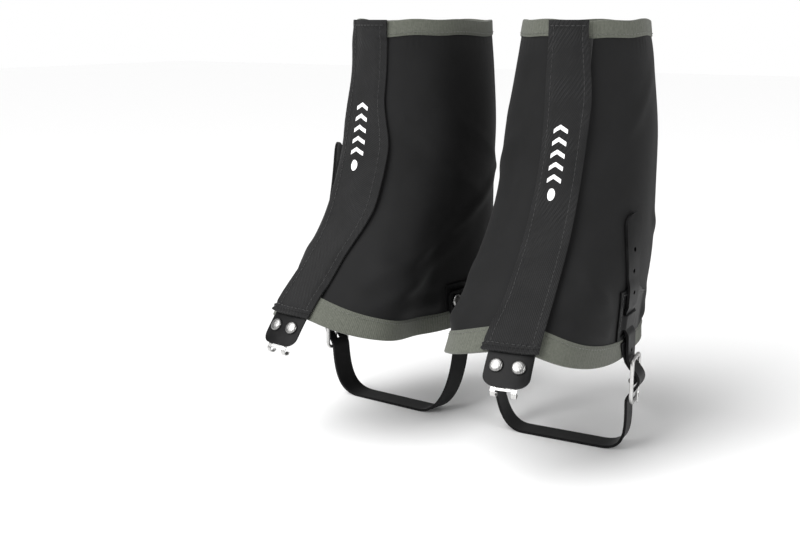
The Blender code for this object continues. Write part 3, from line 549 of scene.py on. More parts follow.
def refine(piece, bevel=0.0, segments=2, levels=0, other=None, operation="DIFFERENCE"):
    """Cuts or adds another body, rounds the edges, smooths the surface, and applies it all."""
    new = piece.modifiers.new
    if other:
        configure(new("boolean", "BOOLEAN"), operation=operation, solver="EXACT", object=other)
    if bevel:
        rounding = configure(new("rounding", "BEVEL"), width=bevel, segments=segments)
        configure(rounding, limit_method="ANGLE", angle_limit=radians(50.0))
    if levels:
        configure(new("smoothing", "SUBSURF"), levels=levels, render_levels=levels)
    graph = bpy.context.evaluated_depsgraph_get()
    mesh = bpy.data.meshes.new_from_object(piece.evaluated_get(graph))
    piece.modifiers.clear()
    piece.data = mesh
    mesh.name = piece.name
    if other:
        bpy.data.objects.remove(other, do_unlink=True)


def seat(piece, side, body, *nodes):
    """Lets a piece ride on a body of its gaiter, in place of the CAD nodes that it stands for."""
    if nodes:
        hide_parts(*(f"{side}_{node}" for node in nodes))
    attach(piece, f"{side}_{body}")


def bend(piece, side, body, *ends):
    """Bakes a piece's transform into its mesh; the two gaiter-frame points are placed in the pair's frame
    but not used, nothing bends, and the body is not used.
    """
    start, end = (place(side, point) for point in ends)
    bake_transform(piece)
    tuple(start)
    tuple(end)


def sheet(side, name, columns, rows, point, stock, keep=None, uv=None):
    """Closed sheet over a grid of cells; point(column, row, face) is on the back (0) or front (1)."""
    mesh_data = bmesh.new()
    layer = mesh_data.loops.layers.uv.new("cloth")
    flats = {}

    @lru_cache(maxsize=None)
    def vertex(i, j, face):
        made = mesh_data.verts.new(place(side, point(columns[i], rows[j], face)))
        flats[made] = uv(columns[i], rows[j]) if uv else (columns[i], rows[j])
        return made

    def filled(i, j):
        inside = 0 <= i < len(columns) - 1 and 0 <= j < len(rows) - 1
        return inside and (keep is None or keep(i, j))

    def add_face(*corners):
        for loop in mesh_data.faces.new([vertex(*corner) for corner in corners]).loops:
            loop[layer].uv = flats[loop.vert]

    for i, j in product(range(len(columns) - 1), range(len(rows) - 1)):
        if not filled(i, j):
            continue
        corners = ((i, j), (i + 1, j), (i + 1, j + 1), (i, j + 1))
        neighbours = ((i, j - 1), (i + 1, j), (i, j + 1), (i - 1, j))
        for face in (0, 1):
            add_face(*((*corner, face) for corner in corners))
        for start, end, neighbour in zip(corners, corners[1:] + corners[:1], neighbours):
            if not filled(*neighbour):
                add_face((*start, 0), (*end, 0), (*end, 1), (*start, 1))
    return new_piece(side, name, mesh_data, stock)


def skin(mesh_data, rings, closed=False):
    """Skins rings of vertices, capped at both ends or closed into a loop. Returns the side faces."""
    spans = list(zip(rings, rings[1:] + rings[:1] if closed else rings[1:]))
    if not closed:
        mesh_data.faces.new(rings[0])
        mesh_data.faces.new(rings[-1])
    return [
        mesh_data.faces.new((ring[k - 1], ring[k], following[k], following[k - 1]))
        for ring, following in spans
        for k in [*range(1, len(ring)), 0]
    ]


def loft(side, name, rings_of_points, stock, closed=False, uv=None):
    """Body skinned over rings of points; uv(i, k) is where point k of ring i lies on the cloth."""
    mesh_data = bmesh.new()
    layer = mesh_data.loops.layers.uv.new("cloth")
    rings = [[mesh_data.verts.new(place(side, point)) for point in ring] for ring in rings_of_points]
    faces = skin(mesh_data, rings, closed)
    if uv:
        flats = {vertex: uv(i, k) for i, ring in enumerate(rings) for k, vertex in enumerate(ring)}
        for loop in (loop for face in faces for loop in face.loops):
            loop[layer].uv = flats[loop.vert]
    return new_piece(side, name, mesh_data, stock)


def circle(centre, first, second, radius, count):
    """Ring of points."""
    turns = [tau * k / count for k in range(count)]
    return [centre + (first * cos(a) + second * sin(a)) * radius for a in turns]


def route_frames(points):
    """(point, width direction, normal) along a path whose width runs forward."""
    frames = []
    for index, point in enumerate(points):
        before = points[max(index - 1, 0)]
        after = points[min(index + 1, len(points) - 1)]
        along = (after - before).normalized()
        width_way = (FORWARD - along * FORWARD.dot(along)).normalized()
        frames.append((point, width_way, width_way.cross(along)))
    return frames


def turned(side, name, centre, normal, profile, stock):
    """Round piece turned about the normal from a (radius, height) profile."""
    segments = 32
    start, axis = place(side, centre), place_way(side, normal)
    first = axis.orthogonal().normalized()
    second = axis.cross(first)
    mesh_data = bmesh.new()
    poles = [mesh_data.verts.new(start + axis * profile[k][1]) for k in (0, -1)]
    rings = []
    for radius, height in profile[1:-1]:
        points = circle(start + axis * height, first, second, radius, segments)
        rings.append([mesh_data.verts.new(point) for point in points])
    for k in range(segments):
        after = (k + 1) % segments
        mesh_data.faces.new((poles[0], rings[0][after], rings[0][k]))
        mesh_data.faces.new((poles[1], rings[-1][k], rings[-1][after]))
        for ring, following in zip(rings, rings[1:]):
            mesh_data.faces.new((ring[k], ring[after], following[after], following[k]))
    return new_piece(side, name, mesh_data, stock)


def drill_bits(side, holes, radius, length):
    """One cutter of rods, one for each (centre, direction)."""
    mesh_data = bmesh.new()
    for centre, direction in holes:
        turn = UP.rotation_difference(place_way(side, direction)).to_matrix().to_4x4()
        rod = {"radius1": radius, "radius2": radius, "depth": length, "segments": 20, "cap_ends": True}
        bmesh.ops.create_cone(mesh_data, matrix=Matrix.Translation(place(side, centre)) @ turn, **rod)
    return add_object("drill_bits", to_mesh("drill_bits", mesh_data))


def distances_along(points):
    """How far along a path each of its points lies."""
    steps = (dist(before, after) for before, after in zip(points, points[1:]))
    return list(accumulate(steps, initial=0.0))


def stitches(side, name, path, normals, stock):
    """Row of sunk thread stitches along a path of points with the cloth's normals."""
    mesh_data = bmesh.new()
    distances = distances_along(path)
    count = int(distances[-1] / (STITCH_LENGTH + STITCH_GAP))
    pitch = distances[-1] / count

    def along(distance):
        index = bisect_right(distances, distance + 1e-9, hi=len(distances) - 1) - 1
        share = (distance - distances[index]) / (distances[index + 1] - distances[index])
        return path[index].lerp(path[index + 1], min(share, 1.0)), normals[index]

    for k in range(count):
        rings = []
        for share in (0.0, 0.18, 0.5, 0.82, 1.0):
            distance = k * pitch + STITCH_GAP / 2 + (pitch - STITCH_GAP) * share
            centre, normal = along(distance)
            ahead, _ = along(min(distance + 0.0002, distances[-1]))
            sideways = normal.cross(ahead - centre).normalized()
            swell = sin(pi * (0.12 + 0.76 * share))
            middle = centre + normal * THREAD_RADIUS * (1.1 * swell - 0.5)
            ring = circle(middle, sideways, normal, THREAD_RADIUS * (0.45 + 0.55 * swell), 6)
            rings.append([mesh_data.verts.new(place(side, point)) for point in ring])
        skin(mesh_data, rings)
    return new_piece(side, name, mesh_data, stock)


def join(side, name, pieces):
    """Joins pieces of one stock into the first, under a new name."""
    mesh_data = bmesh.new()
    for piece in pieces:
        mesh_data.from_mesh(piece.data)
    mesh = to_mesh(f"{side}_{name}", mesh_data)
    joined, *others = pieces
    mesh.materials.append(joined.data.materials[0])
    joined.data = mesh
    joined.name = f"{side}_{name}"
    for piece in others:
        bpy.data.objects.remove(piece, do_unlink=True)
    return joined


# ---- Shell and tapes


CREASES = (
    # Turn from the toe line, drop, lean of the spine, half length, half width, depth
    (-0.95, 0.196, 16.0, 0.030, 0.110, 0.0020),
    (-1.55, 0.150, 24.0, 0.045, 0.130, 0.0017),
    (-1.15, 0.105, -20.0, 0.040, 0.140, 0.0013),
    (0.95, 0.075, -18.0, 0.045, 0.140, 0.0013),
    (0.80, 0.185, 20.0, 0.028, 0.100, 0.0016),
    (2.20, 0.165, 24.0, 0.040, 0.130, 0.0018),
    (-2.40, 0.120, -22.0, 0.040, 0.130, 0.0015),
)


def clear_of_hardware(angle, drop):
    """1 where the shell's cloth may fold, 0 under the flap, the patches and the strap."""
    turn = toe_turn(angle)
    middle, half, soft_side, top, soft_top = STRAP_AREA if turn > 0.0 else ANCHOR_AREA
    clear = smooth((abs(turn) - radians(24.0)) / radians(14.0))
    beside = smooth((abs(leg_surface(angle, drop).y - middle) - half) / soft_side)
    return clear * max(beside, smooth((top - drop) / soft_top))


def shell_fold(side, angle, drop):
    """How far the shell's cloth stands out from its smooth form."""
    turn = toe_turn(angle)
    phase = 0.7 if side == "left" else 2.1
    above = lower_edge(angle) - BOTTOM_TAPE - drop
    roll = 0.0034 * bump_at(above, 0.0075, 0.0075) * smooth(above / 0.0050)
    roll *= 0.70 + 0.30 * sin(5.0 * turn + phase)
    height = 0.026 + 0.008 * sin(2.3 * turn + phase)
    sag = 0.0024 * bump_at(above, height, 0.0085) * (0.6 + 0.4 * sin(3.1 * turn + 2.0 * phase))
    hollow = 0.0009 * bump_at(above, 0.0165, 0.0045)
    flutes = 0.0006 * sin(7.0 * turn + 14.0 * drop + phase) * sin(pi * min(drop / 0.22, 1.0))
    creases = 0.0
    for middle, level, lean, length, width, depth in CREASES:
        spine = turn - middle - lean * (drop - level)
        creases += depth * bump_at(spine, 0.0, width) * bump_at(drop, level, length)
    puckers = 0.00040 * sin(70.0 * turn) * bump_at(drop, TOP_TAPE + 0.004, 0.004)
    return (roll + sag - hollow + flutes + creases + puckers) * clear_of_hardware(angle, drop)


def make_shell(side):
    """Wrap-around cloth shell with its folds and the billow above the lower tape."""
    edge = TAPE_THICK + GAP

    def point(share, level, face):
        low = lower_edge(shell_angle(share, SIDE_DROP)) - edge
        drop = edge + (low - edge) * level
        angle = shell_angle(share, drop)
        free = min(smooth((drop - TOP_TAPE) / 0.003), smooth((low - BOTTOM_TAPE - drop) / 0.001))
        return leg_point(angle, drop, shell_fold(side, angle, drop) * free + face * SHELL_THICK)

    def uv(share, level):
        return 0.44 * share, 0.237 * level

    columns, rows = evenly(0.0, 1.0, 131), evenly(0.0, 1.0, 73)
    shell = sheet(side, "shell_cloth", columns, rows, point, "softshell", uv=uv)
    refine(shell, levels=1)
    seat(shell, side, "gaiter", "shell")


def tape_profile(width):
    """Section of a folded tape as (offset, height above the fold), with soft corners."""
    soft, back, inside = 0.0006, -GAP - TAPE_THICK, OVER_SHELL - 0.0001
    profile = [(back + soft, 0.0), (TAPE_FACE - soft, 0.0), (TAPE_FACE, soft)]
    profile += [(TAPE_FACE, height) for height in evenly(soft * 2, width - soft, 6)]
    profile += [(TAPE_FACE - soft / 2, width)]
    profile += [(inside, height) for height in (width, width / 2, TAPE_THICK)]
    profile += [(-GAP, height) for height in (TAPE_THICK, width / 2, width)]
    profile += [(back + soft / 2, width)]
    return profile + [(back, height) for height in (*evenly(width - soft, soft * 2, 3), soft)]


def make_tape(side, name, node, edge_drop, down, width):
    """Ribbed elastic tape folded over one edge of the shell, with its row of stitches."""
    profile = tape_profile(width)
    around = distances_along(profile)
    length = edge_length(edge_drop)
    steps = 4 * round(length / RIB_PITCH)
    rings = []
    for index, share in enumerate(evenly(0.0, 1.0, steps + 1)):
        edge = edge_drop(shell_angle(share, SIDE_DROP))
        groove = 0.000154 * (0.5 + 0.5 * cos(tau * index / 4))
        ring = []
        for offset, height in profile:
            drop = edge + down * height
            if offset > SHELL_THICK and height > 0.0005:
                offset += 0.00018 * sin(23.0 * share + 300.0 * height) - groove
            ring.append(leg_point(shell_angle(share, drop), drop, offset))
        rings.append(ring)
    tape = loft(side, name, rings, "elastic", uv=lambda i, k: (around[k], length * i / steps))
    seat(tape, side, "gaiter", node)

    path, normals = [], []
    for share in evenly(0.02, 0.98, 240):
        drop = edge_drop(shell_angle(share, SIDE_DROP)) + down * (width - 0.0022)
        angle = shell_angle(share, drop)
        path.append(leg_point(angle, drop, TAPE_FACE))
        normals.append(leg_frame(angle, drop)[1])
    seam = stitches(side, f"{name}_stitches", path, normals, "olive_thread")
    seat(seam, side, "gaiter")


def make_tapes(side):
    """The top tape, which wanders a little along the rim, and the bottom tape."""
    phase = 0.4 if side == "left" else 1.9

    def rim(angle):
        return 0.0006 * sin(3.0 * angle + phase) + 0.0005 * sin(7.0 * angle + 2.0 * phase)

    make_tape(side, "top_tape", "top_binding", rim, 1.0, TOP_TAPE)
    make_tape(side, "bottom_tape", "bottom_binding", lower_edge, -1.0, BOTTOM_TAPE)


# ---- Flap


def flap_shift(side, across, drop):
    """Sideways shift of a place across the flap, from its wandering edges."""
    share = across / FLAP_HALF
    if side == "right":
        bulge = 0.0075 * smooth((drop - 0.055) / 0.045) * smooth((0.180 - drop) / 0.045)
        trim = 0.0020
    else:
        inward = 0.0048 * bump_at(drop, 0.095, 0.062) + 0.0015 * (1.0 - smooth(drop / 0.05))
        bulge = 0.0040 * smooth((drop - 0.180) / 0.035) - inward
        trim = 0.0065
    return -bulge * smooth(-share) - trim * (1.0 - smooth(drop / 0.062)) * smooth(share)


def flap_offset(side, across, drop):
    """Offset of the flap's back, from its sewn medial edge over the fasteners to its free edge."""
    rise = smooth((across + FLAP_HALF) / (FLAP_HALF * 0.5))
    on_tape = max(smooth((TOP_TAPE + 0.004 - drop) / 0.004), smooth((drop - 0.196) / 0.004))
    sewn = OVER_SHELL + 0.0001 + on_tape * (OVER_TAPE - OVER_SHELL + 0.0001)
    if side == "right":
        sewn += 0.0022 * bump_at(drop, 0.115, 0.045)
    free = smooth((across - 0.010) / 0.007)
    wave = 0.0006 * sin(95.0 * drop + 0.8) * free + 0.0006 * free
    phase = 0.0 if side == "left" else 1.5
    belly = 0.00035 * sin(60.0 * drop + phase) * bump_at(across, 0.0, 0.010)
    return sewn + (FLAP_BACK - sewn) * rise + wave * smooth(drop / 0.02) + belly * rise


def flap_relief(across, drop):
    """Extra thickness of the folded hems, with grooves and puckers at the stitch rows."""
    inside = FLAP_HALF - abs(across)
    hem = 0.00045 * smooth((HEM_FOLD + 0.0012 - inside) / 0.0012)
    groove = 0.00035 * bump_at(inside, HEM_FOLD, 0.0007)
    pucker = 0.00022 * sin(tau * drop / 0.0074 + 3.0 * across / FLAP_HALF)
    pucker *= bump_at(inside, HEM_FOLD, 0.0030)
    end_hem = 0.0009 * smooth((drop - FLAP_DROP + 0.0042) / 0.0008)
    end_groove = 0.0007 * bump_at(drop, FLAP_DROP - END_SEAM, 0.0008)
    end_groove += 0.0010 * bump_at(drop, FLAP_DROP - 0.0021, 0.0006)
    top_hem = 0.00045 * smooth((0.0050 - drop) / 0.0010)
    drawn = 0.000275 * sin(tau * (across * 0.7 + drop) / 0.0075)
    drawn *= bump_at(drop, 0.165, 0.032) * bump_at(across, -0.003, 0.009)
    return hem + pucker - groove + end_hem - end_groove + top_hem + drawn


def flap_angle(side, across, drop):
    """Angle around the leg of a place across the flap."""
    return front_angle(flap_centre(drop) + across + flap_shift(side, across, drop), drop)


def flap_face(side, across, drop, lift=0.0):
    """Point on the flap's outer face."""
    offset = flap_offset(side, across, drop) + FLAP_THICK + flap_relief(across, drop) + lift
    return leg_point(flap_angle(side, across, drop), drop, offset)


def follow_flap(side, piece):
    """Works out two points out from the flap's medial seam line towards its free edge and hands them to
    bend.
    """
    top, hem = (
        Vector((flap_centre(drop) - FLAP_HALF, stations_at(drop)[1], RIM_HEIGHT - drop))
        for drop in (0.0, FLAP_DROP)
    )
    hinge = (hem - top).normalized()
    way = (LATERAL - hinge * LATERAL.dot(hinge)).normalized()
    bend(piece, side, "flap", *((top + hem) / 2 + way * distance for distance in FLAP_BEND[side]))


def make_flap(side):
    """Twill flap with folded hems, stitch rows and a generic white mark."""

    def point(across, drop, face):
        if face:
            return flap_face(side, across, drop)
        return leg_point(flap_angle(side, across, drop), drop, flap_offset(side, across, drop))

    side_seam = FLAP_HALF - HEM_FOLD
    hem_lines = [way * (side_seam + step) for step in (0.0, -0.0008, 0.0008) for way in (-1.0, 1.0)]
    bend_lines = evenly(-0.0138, -0.0070, 9)
    columns = sorted(evenly(-FLAP_HALF, FLAP_HALF, 23) + hem_lines + bend_lines)
    end_lines = [FLAP_DROP - 0.0004 * step for step in range(14, -1, -1)]
    rows = evenly(0.0, FLAP_DROP - 0.0065, 119) + end_lines
    flap = sheet(side, "flap_cloth", columns, rows, point, "twill")
    refine(flap, bevel=0.00035, levels=1)
    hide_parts(f"{side}_front_flap")
    follow_flap(side, flap)

    def row(places, middle, drop):
        path = [flap_face(side, *spot, 0.00012) for spot in places]
        normals = [front_normal(flap_centre(drop) + middle, drop)] * len(path)
        return stitches(side, "row", path, normals, "dark_thread")

    drops, acrosses = evenly(0.004, FLAP_DROP - 0.005, 120), evenly(-0.0155, 0.0155, 24)
    seams = [row([(across, drop) for drop in drops], across, 0.1) for across in (-side_seam, side_seam)]
    for end_seam in (0.0042, FLAP_DROP - END_SEAM):
        seams.append(row([(across, end_seam) for across in acrosses], 0.0, end_seam))
    thread_rows = join(side, "flap_stitches", seams)
    follow_flap(side, thread_rows)

    mark = make_mark(side)
    seat(mark, side, "flap")
    flat, on = (2 * FLAP_HALF + 0.004, FLAP_LENGTH), [f"{side}_loop_face"]
    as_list(on)


def make_mark(side):
    """Generic white mark: a column of five chevrons with an oval below."""
    half, rise, stroke, pitch = 0.0050, 0.0032, 0.0030, 0.0085
    tops = [MARK_TOPS[side] + pitch * k for k in range(5)]
    centre = MARK_TOPS[side] + pitch * 5 + 0.0055

    def printed(across, drop, face):
        return flap_face(side, across, drop, 0.00005 + 0.00012 * face)

    def chevron(top, column, row, face):
        return printed(half * column, top + rise * abs(column) + stroke * row, face)

    def oval(column, row, face):
        across = 0.0026 * column * sqrt(1.0 - row * row / 2)
        return printed(across, centre + 0.0042 * row * sqrt(1.0 - column * column / 2), face)

    shapes = [(evenly(-1.0, 1.0, 13), evenly(0.0, 1.0, 4), partial(chevron, top)) for top in tops]
    shapes.append((evenly(-1.0, 1.0, 9), evenly(-1.0, 1.0, 9), oval))
    return join(side, "flap_mark", [sheet(side, "shape", *shape, "white_print") for shape in shapes])


def make_strip(side, name, node, body, back, pile_face, stock):
    """Loop strip on the shell's edge or hook strip on the flap's back, with a tufted face."""

    def point(across, drop, face):
        angle = front_angle(flap_centre(drop) + across, drop)
        tuft = 0.00012 * sin(2300.0 * across) * sin(2100.0 * drop) if face == pile_face else 0.0
        return leg_point(angle, drop, back + STRIP_THICK * face + tuft)

    strip = sheet(side, name, evenly(-0.004, 0.014, 13), evenly(0.0125, 0.185, 121), point, stock)
    refine(strip, bevel=0.0003)
    seat(strip, side, body, node)


# ---- Lace hook tab


def tab_angle(across, drop):
    """Angle around the leg of a place across the tab."""
    return front_angle(flap_centre(FLAP_DROP) + across, drop)


def tab_point(across, drop, offset):
    """Point on the tab's run down the instep."""
    return leg_point(tab_angle(across, drop), drop, offset)


def make_hook_tab(side):
    """Moulded tab with rounded lower corners and a soft bead along its edge."""
    corner_height = TAB_CORNER * 0.75
    straight = TAB_END_DROP - corner_height - TAB_ROOT_DROP
    rounding = [1.0 + sin(radians(a)) for a in (15, 30, 45, 60, 72, 82, 90)]

    def point(column, level, face):
        into_corner = max(level - 1.0, 0.0)
        trim = TAB_CORNER * (1.0 - sqrt(max(1.0 - into_corner**2, 0.0)))
        drop = TAB_ROOT_DROP + straight * min(level, 1.0) + corner_height * into_corner
        bead = 0.00018 * smooth((abs(column) - 0.86) / 0.05) * smooth((level - 0.5) / 0.1)
        crown = 0.0002 * cos(column * pi / 2)
        offset = OVER_TAPE + face * (TAB_THICK - 0.0002 + bead + crown)
        return tab_point(column * (TAB_HALF - trim), drop, offset)

    levels = evenly(0.0, 1.0, 13) + rounding
    tab = sheet(side, "hook_tab_moulding", evenly(-1.0, 1.0, 25), levels, point, "moulded")
    refine(tab, bevel=0.0004, segments=3)
    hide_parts(f"{side}_lace_hook_tab")
    hem = lower_edge(0.0)
    bend(tab, side, "hook_tab", *(tab_point(0.0, hem + below, OVER_TAPE) for below in (-0.0015, 0.0050)))


def make_rivet(side, name, body, centre, normal, grip):
    """Domed rivet with a rolled rim, and its shank and foot behind."""
    rim, top = RIVET_RADIUS, 0.0004 + RIVET_HEIGHT
    foot = -grip - 0.0003
    profile = [(0.0, top)]
    for turn in evenly(0.18, 1.35, 8):
        height = 0.0004 + RIVET_HEIGHT * (0.35 + 0.65 * cos(turn) ** 0.9)
        profile.append((rim * 0.93 * sin(turn), height))
    profile += [(rim * 0.985, 0.00095), (rim, 0.0006), (rim * 0.985, 0.0003), (rim * 0.9, 0.00012)]
    profile += [(0.0016, 0.00012), (0.0016, foot), (0.0028, foot)]
    profile += [(0.0028, foot - 0.0007), (0.0, foot - 0.0007)]
    seat(turned(side, f"{name}_cap", centre, normal, profile, "rivet_steel"), side, body, name)


def make_tab_rivets(side):
    """The two rivets that hold the hook to the tab."""
    for name, across in (("medial", -TAB_RIVET_HALF), ("lateral", TAB_RIVET_HALF)):
        centre = tab_point(across, TAB_RIVET_DROP, TAB_FACE)
        normal = front_normal(flap_centre(FLAP_DROP) + across, TAB_RIVET_DROP)
        make_rivet(side, f"tab_rivet_{name}", "hook_tab", centre, normal, TAB_THICK + GAP + HOOK_THICK)


def make_lace_hook(side):
    """Pressed hook: plate behind the tab, a bar below its edge and two claws that curl in."""
    plate_top, plate_end = HOOK_PLATE_DROPS
    back = OVER_TAPE - GAP - HOOK_THICK
    straight, radius = 0.0110, 0.0028
    curl = pi * radius
    half_columns = [-0.0120, -0.0092, -0.0090, -0.0072, -0.0055, -0.0053, -0.0027]
    columns = [*half_columns, 0.0, *(-across for across in reversed(half_columns))]
    below = [0.0, 0.0090, 0.0108, *(straight + curl * k / 14 for k in range(15)), straight + curl + 0.0006]
    rows = [-3, -2, -1, *range(len(below))]

    def point(across, row, face):
        if row < 0:
            drop = plate_top + (plate_end - plate_top) * (row + 3) / 3
            return tab_point(across, drop, back + HOOK_THICK * face)
        surface, outward, down = leg_frame(tab_angle(across, plate_end), plate_end)
        turn = min(max(below[row] - straight, 0.0) / radius, pi)
        beyond = max(below[row] - straight - curl, 0.0)
        down_by = min(below[row], straight) + radius * sin(turn) - beyond
        inward = radius * (1.0 - cos(turn))
        centre = surface + outward * (back + HOOK_THICK / 2 - inward) + down * down_by
        return centre + (outward * cos(turn) + down * sin(turn)) * HOOK_THICK * (face - 0.5)

    def keep(i, j):
        is_plate, is_claw, is_bar = j < 3, i in (2, 3, 10, 11), j == 4 and 2 <= i <= 11
        return is_plate or is_claw or is_bar

    hook = sheet(side, "lace_hook_pressing", columns, rows, point, "bright_steel", keep)
    refine(hook, bevel=0.0002)
    seat(hook, side, "hook_tab", "lace_hook")


# ---- Strap, patches, buckle


def strap_forward(drop):
    """Fore-and-aft place of the strap's middle on the lateral side."""
    lean = 0.0075 * smooth((0.238 - drop) / 0.050)
    return BUCKLE_FORWARD + lean - 0.0065 * smooth((0.178 - drop) / 0.060)


def strap_offset(drop):
    """How far out the middle of the strap lies on the lateral side."""
    on_patch = OVER_SHELL + PATCH_THICK + GAP + STRAP_THICK / 2 + 0.0002
    over_tab = OVER_TAPE + PATCH_THICK + GAP + STRAP_THICK / 2 + 0.0006
    under_band = OVER_SHELL + STRAP_THICK / 2 + 0.0001
    band_top, band_end = BAND_DROPS
    if drop > band_end:
        return under_band + (over_tab - under_band) * smooth((drop - band_end) / SLIT_HEIGHT)
    if drop > band_top - SLIT_HEIGHT:
        return under_band + (on_patch - under_band) * smooth((band_top - drop) / SLIT_HEIGHT)
    on_shell = OVER_SHELL + STRAP_THICK / 2 + 0.0002
    return on_patch + (on_shell - on_patch) * smooth((PATCH_DROPS[0] - drop) / 0.010)


def tail_lift(side, drop):
    """The tail's tip stands a little off the shell."""
    share = max(0.0, (PATCH_DROPS[0] - drop) / (TAIL_ROOT_DROP - TAIL_END_DROPS[side]))
    return (0.0045 if side == "right" else 0.0018) * share**2


BUCKLE_TOP = BUCKLE_DROP - BUCKLE_HALF_HEIGHT
STRAP_INSIDE = side_point(BUCKLE_FORWARD, BUCKLE_TOP, strap_offset(BUCKLE_TOP)).x
BUCKLE_OUT = STRAP_INSIDE + STRAP_THICK / 2 + CROSSBAR_CLEARANCE + WIRE_RADIUS
BULGE = BUCKLE_OUT - STRAP_INSIDE + WIRE_RADIUS + 2 * GAP + PATCH_THICK + STRAP_THICK / 2 + 0.0001
BUCKLE_CENTRE = Vector((BUCKLE_OUT, BUCKLE_FORWARD, RIM_HEIGHT - BUCKLE_DROP))


def buckle_run(swing):
    """Strap from the lower crossbar (1), out over the centre bar (0), to the upper crossbar (-1)."""
    out = STRAP_INSIDE + BULGE * (1.0 + cos(pi * swing)) / 2
    return Vector((out, BUCKLE_FORWARD, BUCKLE_CENTRE.z - BUCKLE_HALF_HEIGHT * swing))


def around_bar(turn, radius):
    """Point at a distance from the centre bar, at a turn from straight out."""
    return BUCKLE_CENTRE + (LATERAL * cos(turn) + UP * sin(turn)) * radius


def bezier(points, share):
    """Point on a cubic curve with four control points."""
    rest = 1.0 - share
    weights = (rest**3, 3 * rest**2 * share, 3 * rest * share**2, share**3)
    return sum((Vector(point) * weight for point, weight in zip(points, weights)), Vector((0.0, 0.0, 0.0)))


def loop_points():
    """Strap's middle line under the foot, from the medial side through the buckle."""
    floor = STRAP_THICK / 2
    medial = side_point(ANCHOR_FORWARD, 0.240, ANCHOR_OFFSET, flank=-1)
    lateral = buckle_run(1.0)
    step_medial, step_lateral = Vector((-0.030, 0.021, floor)), Vector((0.030, 0.027, floor))
    down = (medial, (medial.x, ANCHOR_FORWARD, 0.030), (-0.052, 0.019, floor), step_medial)
    up = (step_lateral, (0.052, 0.029, floor), (lateral.x, BUCKLE_FORWARD - 0.002, 0.018), lateral)
    points = [bezier(down, share) for share in evenly(0.0, 1.0, 28)]
    points += [step_medial.lerp(step_lateral, share) for share in evenly(0.1, 0.9, 9)]
    points += [bezier(up, share) for share in evenly(0.0, 1.0, 28)]
    return points + [buckle_run(swing) for swing in evenly(0.95, -1.0, 40)]


def strap_rows(side):
    """Rows of the whole strap as (kind, drop or frame), from the anchor's head to the tail's tip."""
    end = TAIL_END_DROPS[side]
    rows = [("head", drop) for drop in evenly(0.2085, 0.2345, 16)]
    rows += [("free", frame) for frame in route_frames(loop_points())]
    rows += [("side", drop) for drop in evenly(0.2348, end + TIP_LENGTH + 0.0005, 84)]
    tip = (0.97, 0.85, 0.7, 0.55, 0.4, 0.28, 0.17, 0.09, 0.03, 0.0)
    return rows + [("side", end + TIP_LENGTH * share) for share in tip]


def strap_head_half(drop):
    """Half width of the strap near its anchor."""
    corner = 0.004 * (1.0 - sqrt(max(1.0 - (max(0.2125 - drop, 0.0) / 0.004) ** 2, 0.0)))
    wide = ANCHOR_HEAD_HALF - corner
    return wide + (STRAP_HALF - wide) * smooth((drop - 0.2235) / 0.0095)


def tail_half(side, drop):
    """Half width of the strap near its round tip."""
    into_tip = min(max((TAIL_END_DROPS[side] + TIP_LENGTH - drop) / TIP_LENGTH, 0.0), 1.0)
    return STRAP_HALF * sqrt(max(1.0 - into_tip**2.6, 0.02))


def tail_holes(side):
    """Centre and direction of each hole that shows in the tail and at the keeper."""
    holes = []
    for drop in (0.1885 - HOLE_PITCH * k for k in range(-3, 7)):
        hidden = BAND_DROPS[0] - 0.006 < drop < BAND_DROPS[1] + 0.006
        if TAIL_END_DROPS[side] + 0.014 < drop < 0.238 and not hidden:
            centre = side_point(strap_forward(drop), drop, strap_offset(drop) + tail_lift(side, drop))
            holes.append((centre, side_normal(strap_forward(drop), drop)))
    return holes


def make_strap(side):
    """One moulded strap from the anchor, under the foot, through the buckle and keeper to its tip."""
    rows = strap_rows(side)
    pin_slot = 0.0017 / STRAP_HALF
    columns = [-1.0, -0.92, -0.55, -pin_slot, pin_slot, 0.55, 0.92, 1.0]

    def point(column, index, face):
        kind, where = rows[index]
        rim = 0.00012 * smooth((abs(column) - 0.9) / 0.02)
        layer = (STRAP_THICK - 0.0002 + 2 * rim) * (face - 0.5)
        if kind == "head":
            reach = column * strap_head_half(where)
            return side_point(ANCHOR_FORWARD + reach, where, ANCHOR_OFFSET + layer, flank=-1)
        if kind == "side":
            reach = column * tail_half(side, where)
            offset = strap_offset(where) + tail_lift(side, where) + layer
            return side_point(strap_forward(where) + reach, where, offset)
        centre, width_way, normal = where
        return centre + width_way * column * STRAP_HALF + normal * layer

    def keep(i, j):
        kind, where = rows[j + 1]
        if i != 3 or kind != "free":
            return True
        below_bar = (BUCKLE_CENTRE.z - where[0].z) / BUCKLE_HALF_HEIGHT
        return not (where[0].x > STRAP_INSIDE + 0.001 and 0.08 < below_bar < 0.60)

    def uv(column, index):
        return column * STRAP_HALF, 0.003 * index

    strap = sheet(side, "strap_moulding", columns, range(len(rows)), point, "moulded", keep, uv)
    holes = drill_bits(side, tail_holes(side), HOLE_RADIUS, 0.005)
    refine(strap, bevel=0.00045, segments=3, other=holes)
    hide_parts(f"{side}_foot_strap", f"{side}_strap_tail")
    bend(strap, side, "tail", *(side_point(strap_forward(drop), drop, 0.004) for drop in (0.198, 0.186)))


